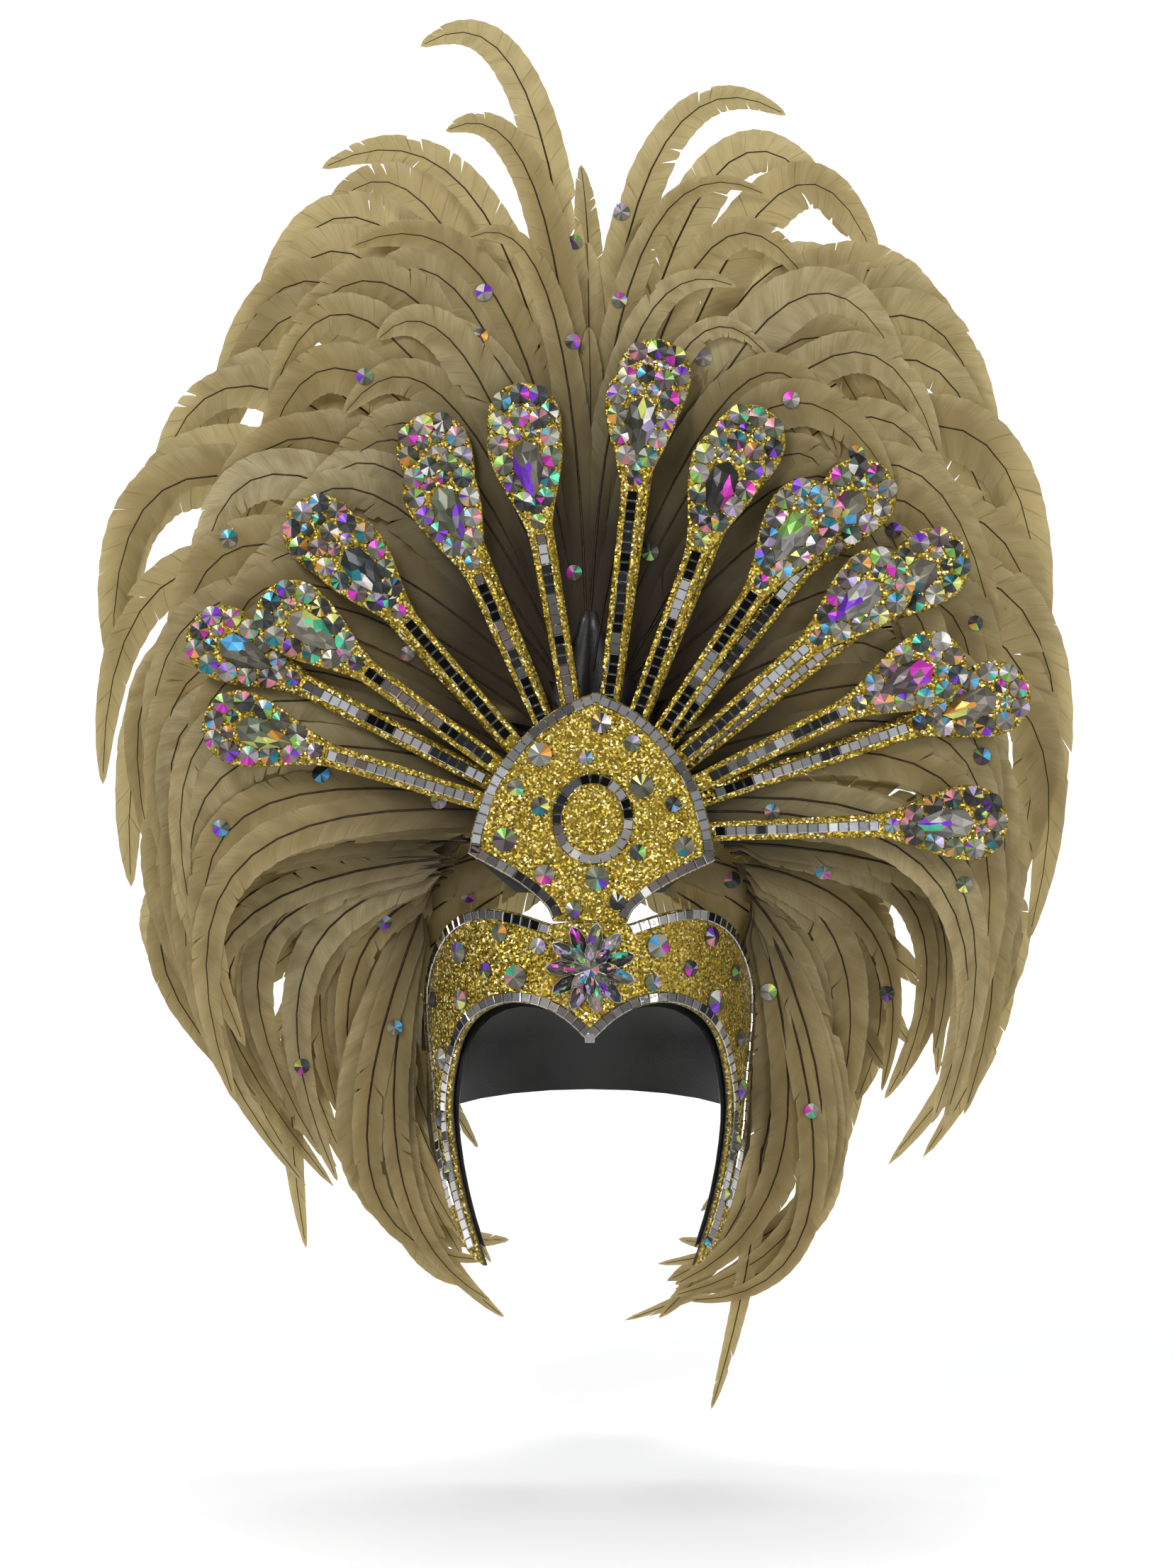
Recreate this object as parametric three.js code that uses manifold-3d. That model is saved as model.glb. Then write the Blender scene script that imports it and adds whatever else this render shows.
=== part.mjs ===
import * as THREE from 'three';
import { mergeVertices } from 'three/addons/utils/BufferGeometryUtils.js';
import Module from 'manifold-3d';

const wasm = await Module();
wasm.setup();

// A carnival headdress: a bent foam headband with a crest, fans of stone-set paddles and coque plumes.
// Sizes are in millimetres. The face looks along -Y, Z is up and z = 0 is where the crown of the head sits.

// Foam sheet and glue lines
const SHEET = 3;
const GAP = 0.3;
const CUT_DEPTH = 130;
const TRIM_WIDTH = 5.3;
const TRIM_THICK = 1.2;

// The headband is bent round an ellipse, seen from above
const BAND_HALF_WIDTH = 97;
const BAND_HALF_DEPTH = 106;
const BAND_SWEEP_DEG = 78;
const BAND_FACETS = 22;
const BAND_CURVE = 20;
const BAND_LOW_Z = -180;
const BAND_TOP_Z = 26;

// Half of the headband's front view, from the neck of the crest round the cheek and back over the brow
const BAND_OUTER = [
  { x: 21, z: 14 },
  { x: 42, z: 20 },
  { x: 60, z: 21.5 },
  { x: 76, z: 15 },
  { x: 87, z: 1 },
  { x: 93.5, z: -19 },
  { x: 94.4, z: -42 },
  { x: 91.2, z: -75 },
  { x: 88.6, z: -105 },
  { x: 83.4, z: -130 },
  { x: 76, z: -152 },
  { x: 66, z: -169 },
  { x: 58, z: -174 },
];
const BAND_INNER = [
  { x: 58, z: -174 },
  { x: 67, z: -148 },
  { x: 73.5, z: -123 },
  { x: 77, z: -100 },
  { x: 77.5, z: -84 },
  { x: 75, z: -66 },
  { x: 70, z: -49 },
  { x: 61, z: -37 },
  { x: 47, z: -30 },
  { x: 31, z: -30 },
  { x: 15, z: -37 },
  { x: 0, z: -50.5 },
];
const SIDE_TRIM_END_Z = -146;

// The cap: where its dome starts, how far it shows inside the band's edge and its lower rim, front to back
const CAP = { wall: 2, domeZ: -62, arcSteps: 5, sides: 24, lipX: 5, lipZ: 3, floorX: 53, floorZ: -190 };
const CAP_RIM = { cheekY: -84, cheekZ: -168, earY: 0, earZ: -104, napeY: 140, napeZ: -92 };

// Half of the crest's front view, from its neck round the corner to its point
const CREST_EDGE = [
  { x: 20, z: 15 },
  { x: 25, z: 24 },
  { x: 42, z: 37 },
  { x: 67, z: 50 },
  { x: 64, z: 68 },
  { x: 55.5, z: 92 },
  { x: 39, z: 115 },
  { x: 20, z: 131 },
  { x: 0, z: 140 },
];
const CREST_CORNER = 3;
const CREST_ROLL_DEG = 1.6;
const MEDALLION = { x: 1.5, z: 71, halfWidth: 22, halfHeight: 24.4, recess: 1.2 };

// The larger round cut stones on the crest and the headband: centre in the front view and diameter
const CREST_STONES = [
  { x: 6, z: 123, d: 11 },
  { x: -27, z: 106, d: 13 },
  { x: 28, z: 89, d: 13 },
  { x: -27, z: 78, d: 10 },
  { x: -46, z: 60, d: 13 },
  { x: 51, z: 56, d: 11 },
  { x: -24.5, z: 41, d: 11 },
  { x: 4, z: 39, d: 13 },
];
const BAND_STONES = [
  { x: -49, z: 9, d: 10 },
  { x: -72, z: -3, d: 12 },
  { x: -40, z: -15, d: 13 },
  { x: -71, z: -29, d: 11 },
  { x: -82, z: -63, d: 12 },
  { x: -83.6, z: -96, d: 10 },
  { x: 37, z: 2, d: 13 },
  { x: 67, z: 6, d: 11 },
  { x: 69, z: -30, d: 13 },
  { x: 84.5, z: -81, d: 12 },
];
const RING_SIDES = 20;
const STONE_SIDES = 8;
const STONE = { table: 0.42, height: 0.42, foot: 1 };
const MARQUISE_SIDES = 6;
const MARQUISE_PINCH = 1.3;

// Flower of marquise stones in the middle of the brow
const BROOCH = { x: 0.5, z: -9.5, outer: 11, inner: 8, radius: 24, petal: 15.8, petalWidth: 7.5 };
const BROOCH_PETALS = { girdle: 1.2, height: 3.6, innerGirdle: 1, innerHeight: 2.6, table: 0.5 };
const BROOCH_INNER = { longer: 0.65, wider: 0.75, radius: 9, rise: 5.2, tilt: -0.3 };
const BROOCH_SEAT = { radius: 9, thick: 2, sides: 12, eye: 9, eyeRadius: 4, eyeRise: 7, eyeSides: 10 };

// Fans of paddles: direction from the fan's centre and how far the tip reaches
const FAN = { x: 2, z: 62, rootRadius: 52 };
const FRONT_PADDLES = [
  { deg: 163, reach: 221 },
  { deg: 144, reach: 222 },
  { deg: 131, reach: 224 },
  { deg: 114, reach: 225 },
  { deg: 100, reach: 236 },
  { deg: 83.5, reach: 258 },
  { deg: 70, reach: 234 },
  { deg: 56.5, reach: 228 },
  { deg: 41.5, reach: 225 },
  { deg: 26.5, reach: 224 },
  { deg: 2, reach: 225 },
];
const BACK_PADDLES = [
  { deg: 152.5, reach: 248 },
  { deg: 132, reach: 243 },
  { deg: 112.5, reach: 248 },
  { deg: 99.5, reach: 250 },
  { deg: 82.5, reach: 273 },
  { deg: 68.5, reach: 251 },
  { deg: 52, reach: 256 },
  { deg: 38.5, reach: 257 },
  { deg: 19, reach: 251 },
];
const PADDLE = { thick: 3, rootWidth: 10, rodWidth: 12.4, headLength: 76, headWidth: 41 };
const PADDLE_NECK = { fromRod: 16, fromHead: 22 };
const ROD_TILES = { width: 5.5, thick: 1, clear: 4 };
const HUB_THICK = 5.5;
const HUB = { shrink: 0.93, cornerZ: 50, lowX: 40, lowZ: 31 };
const PEAR = { length: 32, width: 18.5, height: 5, girdle: 1.2, fromTip: 34, sides: 8, table: 0.5 };
const PEAR_FORM = { pinch: 0.7, fullness: 1.12 };

// Plume layers: how far roots and tips stand out from the fan, and their depth
const PLUME_PLATE = 4;
const PLUME_SINK = 0.6;
const PLUME_ROOT = { x: 8, z: 110, pull: 0.06, skirt: 20 };
const PLUME_CENTRE_Z = 80;
const CROWN_LAYERS = [
  { name: 'front', rootReach: 0.62, reach: 0.72, belly: 0.5, tip: 7, feathers: 8, halfWidth: 16 },
  { name: 'middle', rootReach: 0.8, reach: 0.86, belly: 3.5, tip: 23, feathers: 10, halfWidth: 17 },
  { name: 'back', rootReach: 1, reach: 1, belly: 18, tip: 62, feathers: 12, halfWidth: 17 },
];
// Each row is one feather's root, the pull of its belly and its tip, in the front view
const CROWN_FLOW = {
  left: [
    { root: [-58, 62], belly: [-265, 100], tip: [-205, -80] },
    { root: [-57, 86], belly: [-298, 150], tip: [-228, -40] },
    { root: [-51, 117], belly: [-298, 215], tip: [-250, 15] },
    { root: [-44, 148], belly: [-275, 290], tip: [-266, 80] },
    { root: [-35, 179], belly: [-262, 340], tip: [-283, 151] },
    { root: [-28, 200], belly: [-200, 400], tip: [-250, 235] },
    { root: [-24, 210], belly: [-160, 440], tip: [-232, 278] },
    { root: [-18, 220], belly: [-135, 478], tip: [-212, 325] },
    { root: [-12, 234], belly: [-100, 490], tip: [-195, 388] },
    { root: [-9, 244], belly: [-50, 500], tip: [-157, 448] },
    { root: [-5, 254], belly: [-20, 450], tip: [-99, 520] },
  ],
  right: [
    { root: [62, 62], belly: [262, 98], tip: [200, -98] },
    { root: [64, 86], belly: [290, 140], tip: [220, -70] },
    { root: [58, 117], belly: [292, 210], tip: [240, -8] },
    { root: [52, 154], belly: [272, 285], tip: [250, 48] },
    { root: [43, 185], belly: [255, 350], tip: [262, 118] },
    { root: [32, 205], belly: [215, 420], tip: [258, 180] },
    { root: [24, 215], belly: [170, 460], tip: [238, 262] },
    { root: [18, 225], belly: [125, 490], tip: [220, 325] },
    { root: [12, 236], belly: [80, 520], tip: [162, 418] },
    { root: [6, 254], belly: [20, 440], tip: [112, 482] },
  ],
};
const SIDE_PLATE = { y: -14, thick: 6, width: 14, inside: 5.2, rootIn: 2 };
const SIDE_LAYERS = [
  { reach: 0.8, root: 1.8, belly: 1, tip: 5, feathers: 6, halfWidth: 11.4 },
  { reach: 1, root: 5.2, belly: 12, tip: 26, feathers: 7, halfWidth: 12.4 },
];
const SIDE_FLOW = {
  left: [
    { root: [-76, 58], belly: [-292, 72], tip: [-195, -95] },
    { root: [-80, 46], belly: [-262, 34], tip: [-163, -138] },
    { root: [-84, 34], belly: [-215, 16], tip: [-136, -152] },
    { root: [-92, 8], belly: [-168, -8], tip: [-108, -166] },
    { root: [-98.5, -24], belly: [-140, -60], tip: [-84, -184] },
    { root: [-98.5, -62], belly: [-130, -112], tip: [-58, -202] },
  ],
  right: [
    { root: [76, 58], belly: [290, 76], tip: [197, -95] },
    { root: [80, 46], belly: [264, 36], tip: [168, -136] },
    { root: [84, 34], belly: [218, 18], tip: [140, -150] },
    { root: [92, 8], belly: [170, -6], tip: [112, -168] },
    { root: [98.5, -24], belly: [142, -58], tip: [88, -186] },
    { root: [98.5, -62], belly: [132, -110], tip: [58, -200] },
  ],
};
const HANGING = { root: [99.5, -58], belly: [103, -165], tip: [70, -270], depth: 4.5, lean: 6, halfWidth: 9 };
const FEATHER_STATIONS = 5;
const FEATHER_RIDGE = 1.6;
// Share of a blade's width at its root and tip, how fast it swells and how blunt its end is
const BLADE = { root: 0.12, swell: 2.4, blunt: 5, tip: 0.14, leastRidge: 0.4 };

// Depths of the layers behind the crest, front to back
const CREST_FRONT = -BAND_HALF_DEPTH;
const FRONT_PADDLE_Y = CREST_FRONT + SHEET + GAP;
const HUB_Y = FRONT_PADDLE_Y + PADDLE.thick + GAP;
const BACK_PADDLE_Y = HUB_Y + HUB_THICK + GAP;
const PLUME_Y = BACK_PADDLE_Y + PADDLE.thick + GAP;

const GOLD = { color: 0xa5842f, roughness: 0.45, metalness: 0.6 };
const BLACK = { color: 0x141313, roughness: 0.4, metalness: 0 };
const MIRROR = { color: 0xc9c9cf, roughness: 0.08, metalness: 1 };
const CRYSTAL = { color: 0xd9dbe6, roughness: 0.05, metalness: 0.3 };
const FEATHER = { color: 0x9c8f6c, roughness: 0.7, metalness: 0 };

const object = new THREE.Group();

function addPiece(name, geometry, look) {
  const mesh = new THREE.Mesh(geometry, new THREE.MeshStandardMaterial(look));
  mesh.name = name;
  object.add(mesh);
  return mesh;
}

function solidOf(geometry) {
  const bare = geometry.clone();
  bare.deleteAttribute('normal');
  bare.deleteAttribute('uv');
  const merged = mergeVertices(bare, 1e-4);
  const vertProperties = new Float32Array(merged.getAttribute('position').array);
  const triVerts = new Uint32Array(merged.getIndex().array);
  return new wasm.Manifold(new wasm.Mesh({ numProp: 3, vertProperties, triVerts }));
}

function geometryOf(solid) {
  const mesh = solid.getMesh();
  const geometry = new THREE.BufferGeometry();
  geometry.setAttribute('position', new THREE.BufferAttribute(mesh.vertProperties.slice(), 3));
  geometry.setIndex(new THREE.BufferAttribute(mesh.triVerts.slice(), 1));
  return geometry;
}

function join(geometries) {
  return outerSkin(geometryOf(geometries.map(solidOf).reduce((whole, next) => whole.add(next))));
}

function volumeUnder(points, [a, b, c]) {
  return points[a].dot(points[b].clone().cross(points[c]));
}

// Fills the pockets that crossing blades close off, by leaving out the skins that face inwards
function outerSkin(geometry) {
  const position = geometry.getAttribute('position');
  const points = [];
  for (let i = 0; i < position.count; i += 1) {
    points.push(new THREE.Vector3().fromBufferAttribute(position, i));
  }
  const parent = points.map((_, i) => i);
  const find = (i) => {
    let top = i;
    while (parent[top] !== top) {
      top = parent[top];
    }
    return top;
  };
  const index = geometry.getIndex().array;
  const faces = [];
  for (let f = 0; f < index.length; f += 3) {
    const face = [index[f], index[f + 1], index[f + 2]];
    faces.push(face);
    parent[find(face[0])] = find(face[1]);
    parent[find(face[1])] = find(face[2]);
  }
  const volumes = new Map();
  for (const face of faces) {
    const skin = find(face[0]);
    volumes.set(skin, (volumes.get(skin) ?? 0) + volumeUnder(points, face));
  }
  geometry.setIndex(faces.filter((face) => volumes.get(find(face[0])) > 0).flat());
  return geometry;
}

// A closed body through rings of equally many points, with a fan over each end
function loft(rings) {
  const count = rings[0].length;
  const points = rings.flat();
  const faces = [];
  for (let k = 0; k + 1 < rings.length; k += 1) {
    for (let i = 0; i < count; i += 1) {
      const a = k * count + i;
      const b = k * count + ((i + 1) % count);
      faces.push(a, b, b + count, a, b + count, a + count);
    }
  }
  const last = (rings.length - 1) * count;
  for (let i = 1; i + 1 < count; i += 1) {
    faces.push(0, i + 1, i);
    faces.push(last, last + i, last + i + 1);
  }
  let volume = 0;
  for (let f = 0; f < faces.length; f += 3) {
    volume += volumeUnder(points, faces.slice(f, f + 3));
  }
  if (volume < 0) {
    faces.reverse();
  }
  const geometry = new THREE.BufferGeometry().setFromPoints(points);
  geometry.setIndex(faces);
  return geometry;
}

function curveThrough(rows, pieces) {
  return new THREE.SplineCurve(rows.map((p) => new THREE.Vector2(p.x, p.z))).getPoints(pieces);
}

function mirrored(points) {
  return points.map((p) => new THREE.Vector2(-p.x, p.y)).reverse();
}

// A front view outline pushed back along +Y from a given depth
function prism(outline, y, depth) {
  const shape = new THREE.Shape(outline);
  const geometry = new THREE.ExtrudeGeometry(shape, { depth, bevelEnabled: false, steps: 1 });
  return geometry.rotateX(Math.PI / 2).translate(0, y + depth, 0);
}

// Wall of the bent headband between two insets from its outer face
function bentWall(inset, thick) {
  const plan = [];
  for (const [skin, turn] of [[inset, 1], [inset + thick, -1]]) {
    for (let i = 0; i <= BAND_FACETS; i += 1) {
      const u = THREE.MathUtils.degToRad(turn * BAND_SWEEP_DEG * ((2 * i) / BAND_FACETS - 1));
      const x = (BAND_HALF_WIDTH - skin) * Math.sin(u);
      plan.push(new THREE.Vector2(x, -(BAND_HALF_DEPTH - skin) * Math.cos(u)));
    }
  }
  const depth = BAND_TOP_Z - BAND_LOW_Z;
  const wall = new THREE.ExtrudeGeometry(new THREE.Shape(plan), { depth, bevelEnabled: false });
  return wall.translate(0, 0, BAND_LOW_Z);
}

function depthOfBand(x) {
  return -BAND_HALF_DEPTH * Math.sqrt(1 - (x / BAND_HALF_WIDTH) ** 2);
}

// Moves an edge sideways by a distance measured on the sheet as if it lay flat
function offsetOnSheet(edge, distance, radius) {
  const flat = edge.map((p) => new THREE.Vector2(radius * Math.asin(p.x / radius), p.y));
  return flat.map((p, i) => {
    const before = flat[Math.max(i - 1, 0)];
    const after = flat[Math.min(i + 1, flat.length - 1)];
    const along = after.clone().sub(before).normalize();
    const s = p.x - along.y * distance;
    return new THREE.Vector2(radius * Math.sin(s / radius), p.y + along.x * distance);
  });
}

function rolled(points) {
  const pivot = new THREE.Vector2(0, CREST_EDGE[0].z);
  const turn = -THREE.MathUtils.degToRad(CREST_ROLL_DEG);
  return points.map((p) => p.clone().rotateAround(pivot, turn));
}

function crestHalfEdge() {
  const lower = curveThrough(CREST_EDGE.slice(0, CREST_CORNER + 1), 5);
  const upper = curveThrough(CREST_EDGE.slice(CREST_CORNER), 9);
  return [...lower, ...upper.slice(1)];
}

function crestOutline() {
  const half = crestHalfEdge();
  return rolled([...half, ...mirrored(half).slice(1)]);
}

function ellipse(halfWidth, halfHeight, sides) {
  const points = [];
  for (let i = 0; i < sides; i += 1) {
    const a = (2 * Math.PI * i) / sides;
    const x = MEDALLION.x + halfWidth * Math.cos(a);
    points.push(new THREE.Vector2(x, MEDALLION.z + halfHeight * Math.sin(a)));
  }
  return points;
}

// A round cut stone: a ring of facets up to a flat table, standing on the sheet
function roundStone(diameter) {
  const r = diameter / 2;
  const top = r * STONE.height;
  const profile = [[0, -STONE.foot], [r, -STONE.foot], [r * STONE.table, top], [0, top]];
  const lathe = new THREE.LatheGeometry(profile.map(([x, y]) => new THREE.Vector2(x, y)), STONE_SIDES);
  return lathe.rotateX(Math.PI);
}

function stoneOnFront(row, onCrest) {
  const y = onCrest ? CREST_FRONT : depthOfBand(row.x);
  const out = onCrest ? 0 : Math.atan2(row.x / BAND_HALF_WIDTH ** 2, -y / BAND_HALF_DEPTH ** 2);
  const stone = roundStone(row.d).rotateZ(out);
  return stone.translate(row.x, y, row.z);
}

function buildHeadpiece() {
  const outer = curveThrough(BAND_OUTER, BAND_CURVE);
  const inner = curveThrough(BAND_INNER, BAND_CURVE);
  const half = [new THREE.Vector2(BAND_OUTER[0].x - 1, BAND_TOP_Z - 1), ...outer, ...inner.slice(1)];
  const outline = [...half, ...mirrored(half).slice(1)];
  const band = solidOf(bentWall(0, SHEET)).intersect(solidOf(prism(outline, -CUT_DEPTH, CUT_DEPTH)));
  const crest = solidOf(prism(crestOutline(), CREST_FRONT, SHEET));
  const { halfWidth, halfHeight, recess } = MEDALLION;
  const well = ellipse(halfWidth - TRIM_WIDTH, halfHeight - TRIM_WIDTH, RING_SIDES);
  let sheet = band.add(crest).subtract(solidOf(prism(well, CREST_FRONT - 1, 1 + recess)));
  for (const row of CREST_STONES) {
    sheet = sheet.add(solidOf(stoneOnFront(row, true)));
  }
  for (const row of BAND_STONES) {
    sheet = sheet.add(solidOf(stoneOnFront(row, false)));
  }
  addPiece('headpiece_front', geometryOf(sheet), GOLD);

  // Mirror-tile trims stand on the sheet's face along its edges
  const trimWall = solidOf(bentWall(-GAP - TRIM_THICK, TRIM_THICK));
  const ribbon = (edge) => [...edge, ...offsetOnSheet(edge, -TRIM_WIDTH, BAND_HALF_WIDTH).reverse()];
  const side = outer.filter((p) => p.y > SIDE_TRIM_END_Z);
  const right = trimWall.intersect(solidOf(prism(ribbon(side), -CUT_DEPTH, CUT_DEPTH)));
  const left = trimWall.intersect(solidOf(prism(mirrored(ribbon(side)), -CUT_DEPTH, CUT_DEPTH)));
  addPiece('headband_trim_right', geometryOf(right), MIRROR);
  addPiece('headband_trim_left', geometryOf(left), MIRROR);
  const face = inner.slice(1);
  const faceEdge = [...face, ...mirrored(face).slice(1)];
  const faceTrim = trimWall.intersect(solidOf(prism(ribbon(faceEdge), -CUT_DEPTH, CUT_DEPTH)));
  addPiece('headband_trim_face', geometryOf(faceTrim), MIRROR);

  const crestEdge = crestOutline().slice(1, -1);
  const flat = 1e5;
  const crestRibbon = [...crestEdge, ...offsetOnSheet(crestEdge, TRIM_WIDTH, flat).reverse()];
  const trimY = CREST_FRONT - GAP - TRIM_THICK;
  addPiece('crest_trim', prism(crestRibbon, trimY, TRIM_THICK), MIRROR);
  const ringShape = new THREE.Shape(ellipse(halfWidth, halfHeight, RING_SIDES));
  ringShape.holes.push(new THREE.Path(ellipse(halfWidth - TRIM_WIDTH, halfHeight - TRIM_WIDTH, RING_SIDES)));
  const ring = new THREE.ExtrudeGeometry(ringShape, { depth: TRIM_THICK, bevelEnabled: false });
  addPiece('medallion_ring', ring.rotateX(Math.PI / 2).translate(0, trimY + TRIM_THICK, 0), MIRROR);
}

// A plain black cap inside the band: it seats on the crown and runs down behind the cheeks
function buildCap() {
  const skin = SHEET + GAP;
  const { wall, domeZ, arcSteps, lipX, lipZ, floorX, floorZ } = CAP;
  const profile = [];
  for (const [inset, top] of [[0, wall], [wall, 0]]) {
    const r = BAND_HALF_WIDTH - skin - inset;
    const arc = [];
    for (let i = 0; i <= arcSteps; i += 1) {
      const a = (Math.PI / 2) * (i / arcSteps);
      const across = i === arcSteps ? 0 : r * Math.cos(a);
      arc.push(new THREE.Vector2(across, domeZ + (top - domeZ) * Math.sin(a)));
    }
    arc.unshift(new THREE.Vector2(r, BAND_LOW_Z));
    profile.push(...(inset === 0 ? arc.reverse() : arc));
  }
  const stretch = (BAND_HALF_DEPTH - skin) / (BAND_HALF_WIDTH - skin);
  const shell = new THREE.LatheGeometry(profile.reverse(), CAP.sides);
  shell.rotateX(Math.PI / 2).scale(1, stretch, 1);
  const inner = curveThrough(BAND_INNER, BAND_CURVE).map((p) => {
    return new THREE.Vector2(Math.max(p.x - lipX, 0), p.y - lipZ);
  });
  const low = [new THREE.Vector2(floorX, floorZ), ...inner];
  const face = solidOf(prism([...low, ...mirrored(low).slice(1)], -CUT_DEPTH, CUT_DEPTH));
  const { cheekY, cheekZ, earY, earZ, napeY, napeZ } = CAP_RIM;
  const under = new THREE.Shape();
  under.moveTo(-napeY, floorZ);
  under.lineTo(-napeY, cheekZ);
  under.lineTo(cheekY, cheekZ);
  under.bezierCurveTo(0.7 * cheekY, 0.9 * cheekZ, 0.5 * cheekY, 1.1 * earZ, earY, earZ);
  under.lineTo(napeY, napeZ);
  under.lineTo(napeY, floorZ);
  const depth = 2 * CUT_DEPTH;
  const below = new THREE.ExtrudeGeometry(under, { depth, bevelEnabled: false, curveSegments: 6 });
  below.applyMatrix4(new THREE.Matrix4().set(0, 0, 1, -CUT_DEPTH, 1, 0, 0, 0, 0, 1, 0, 0, 0, 0, 0, 1));
  const cap = solidOf(shell).subtract(face).subtract(solidOf(below));
  addPiece('head_cap', geometryOf(cap), BLACK);
}

// A stone with a pointed oval or pear outline: flat back, girdle and a table
function cutStone(outline, girdle, height, table) {
  const middle = outline.reduce((sum, p) => sum.add(p), new THREE.Vector2()).divideScalar(outline.length);
  const ring = (scale, y) => outline.map((p) => {
    const q = p.clone().sub(middle).multiplyScalar(scale).add(middle);
    return new THREE.Vector3(q.x, y, q.y);
  });
  return loft([ring(1, 0), ring(1, -girdle), ring(table, -height)]);
}

function marquise(length, width) {
  const points = [];
  for (let i = 0; i < MARQUISE_SIDES; i += 1) {
    const a = (2 * Math.PI * i) / MARQUISE_SIDES;
    const pinch = Math.abs(Math.sin(a)) ** MARQUISE_PINCH;
    points.push(new THREE.Vector2((length / 2) * Math.cos(a), (width / 2) * Math.sign(Math.sin(a)) * pinch));
  }
  return points;
}

function buildBrooch() {
  const { x, z, outer, inner, radius, petal, petalWidth } = BROOCH;
  const back = depthOfBand(0) - GAP;
  const { thick, sides, eye, eyeRadius, eyeRise, eyeSides } = BROOCH_SEAT;
  const setting = new THREE.CylinderGeometry(BROOCH_SEAT.radius, BROOCH_SEAT.radius, thick, sides);
  const eyeSeat = new THREE.CylinderGeometry(eyeRadius, eyeRadius, eyeRise, eyeSides);
  const pieces = [
    setting.translate(0, -thick / 2, 0),
    eyeSeat.translate(0, -eyeRise / 2, 0),
    roundStone(eye).translate(0, -eyeRise, 0),
  ];
  const { girdle, height, innerGirdle, innerHeight, table } = BROOCH_PETALS;
  for (let i = 0; i < outer; i += 1) {
    const stone = cutStone(marquise(petal, petalWidth), girdle, height, table);
    stone.translate(radius - petal / 2, 0, 0).rotateY((2 * Math.PI * (i + 0.5)) / outer);
    pieces.push(stone);
  }
  for (let i = 0; i < inner; i += 1) {
    const { longer, wider, rise, tilt } = BROOCH_INNER;
    const leaf = marquise(petal * longer, petalWidth * wider);
    const stone = cutStone(leaf, innerGirdle, innerHeight, table).rotateZ(tilt);
    stone.translate(BROOCH_INNER.radius, -rise, 0).rotateY((2 * Math.PI * i) / inner);
    pieces.push(stone);
  }
  addPiece('flower_brooch', join(pieces).translate(x, back, z), CRYSTAL);
}

// Paddle outline along its own axis: a rod that swells into a teardrop head
function paddleShape(length) {
  const rod = length - PADDLE.headLength;
  const half = PADDLE.headWidth / 2;
  const wide = length - half;
  const shape = new THREE.Shape();
  shape.moveTo(0, -PADDLE.rootWidth / 2);
  shape.lineTo(rod, -PADDLE.rodWidth / 2);
  const neck = rod + PADDLE_NECK.fromRod;
  const swell = wide - PADDLE_NECK.fromHead;
  shape.bezierCurveTo(neck, -PADDLE.rodWidth / 2, swell, -half, wide, -half);
  shape.absarc(wide, 0, half, -Math.PI / 2, Math.PI / 2, false);
  shape.bezierCurveTo(swell, half, neck, PADDLE.rodWidth / 2, rod, PADDLE.rodWidth / 2);
  shape.lineTo(0, PADDLE.rootWidth / 2);
  return shape;
}

// How far the crest covers a rod that leaves the fan's centre in a given direction
function crestReach(deg) {
  const a = THREE.MathUtils.degToRad(deg);
  const along = new THREE.Vector2(Math.cos(a), Math.sin(a));
  const outline = crestOutline().map((p) => p.sub(new THREE.Vector2(FAN.x, FAN.z)));
  const ahead = outline.map((p) => p.dot(along));
  const aside = outline.map((p) => along.cross(p));
  let reach = 0;
  for (let i = 0; i + 1 < outline.length; i += 1) {
    if (aside[i] * aside[i + 1] <= 0) {
      const share = aside[i] / (aside[i] - aside[i + 1]);
      reach = Math.max(reach, ahead[i] + share * (ahead[i + 1] - ahead[i]));
    }
  }
  return reach;
}

function pearOutline() {
  const points = [];
  for (let i = 0; i < PEAR.sides; i += 1) {
    const a = (2 * Math.PI * i) / PEAR.sides;
    const swell = PEAR_FORM.fullness * Math.abs(Math.sin(a / 2)) ** PEAR_FORM.pinch;
    const across = (PEAR.width / 2) * Math.sin(a) * swell;
    points.push(new THREE.Vector2((-PEAR.length / 2) * Math.cos(a), across));
  }
  return points;
}

function buildPaddles(fan, rows, frontY) {
  rows.forEach((row, i) => {
    const number = String(i + 1).padStart(2, '0');
    const length = row.reach - FAN.rootRadius;
    const board = new THREE.ExtrudeGeometry(paddleShape(length), {
      depth: PADDLE.thick,
      bevelEnabled: false,
      curveSegments: 4,
    });
    const bare = crestReach(row.deg) - FAN.rootRadius + ROD_TILES.clear;
    const tilesLength = length - PADDLE.headLength - ROD_TILES.clear - bare;
    const tiles = new THREE.BoxGeometry(tilesLength, ROD_TILES.width, ROD_TILES.thick + 1);
    tiles.translate(bare + tilesLength / 2, 0, PADDLE.thick + (ROD_TILES.thick - 1) / 2);
    const place = new THREE.Group();
    place.position.set(FAN.x, frontY, FAN.z);
    place.rotation.y = -THREE.MathUtils.degToRad(row.deg);
    const body = join([board, tiles]).rotateX(Math.PI / 2).translate(FAN.rootRadius, PADDLE.thick, 0);
    const paddle = addPiece(`paddle_${fan}_${number}`, body, GOLD);
    const pear = cutStone(pearOutline(), PEAR.girdle, PEAR.height, PEAR.table);
    const stone = addPiece(`pear_${fan}_${number}`, pear, CRYSTAL);
    stone.position.set(row.reach - PEAR.fromTip, -GAP, 0);
    place.add(paddle, stone);
    object.add(place);
  });
}

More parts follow.
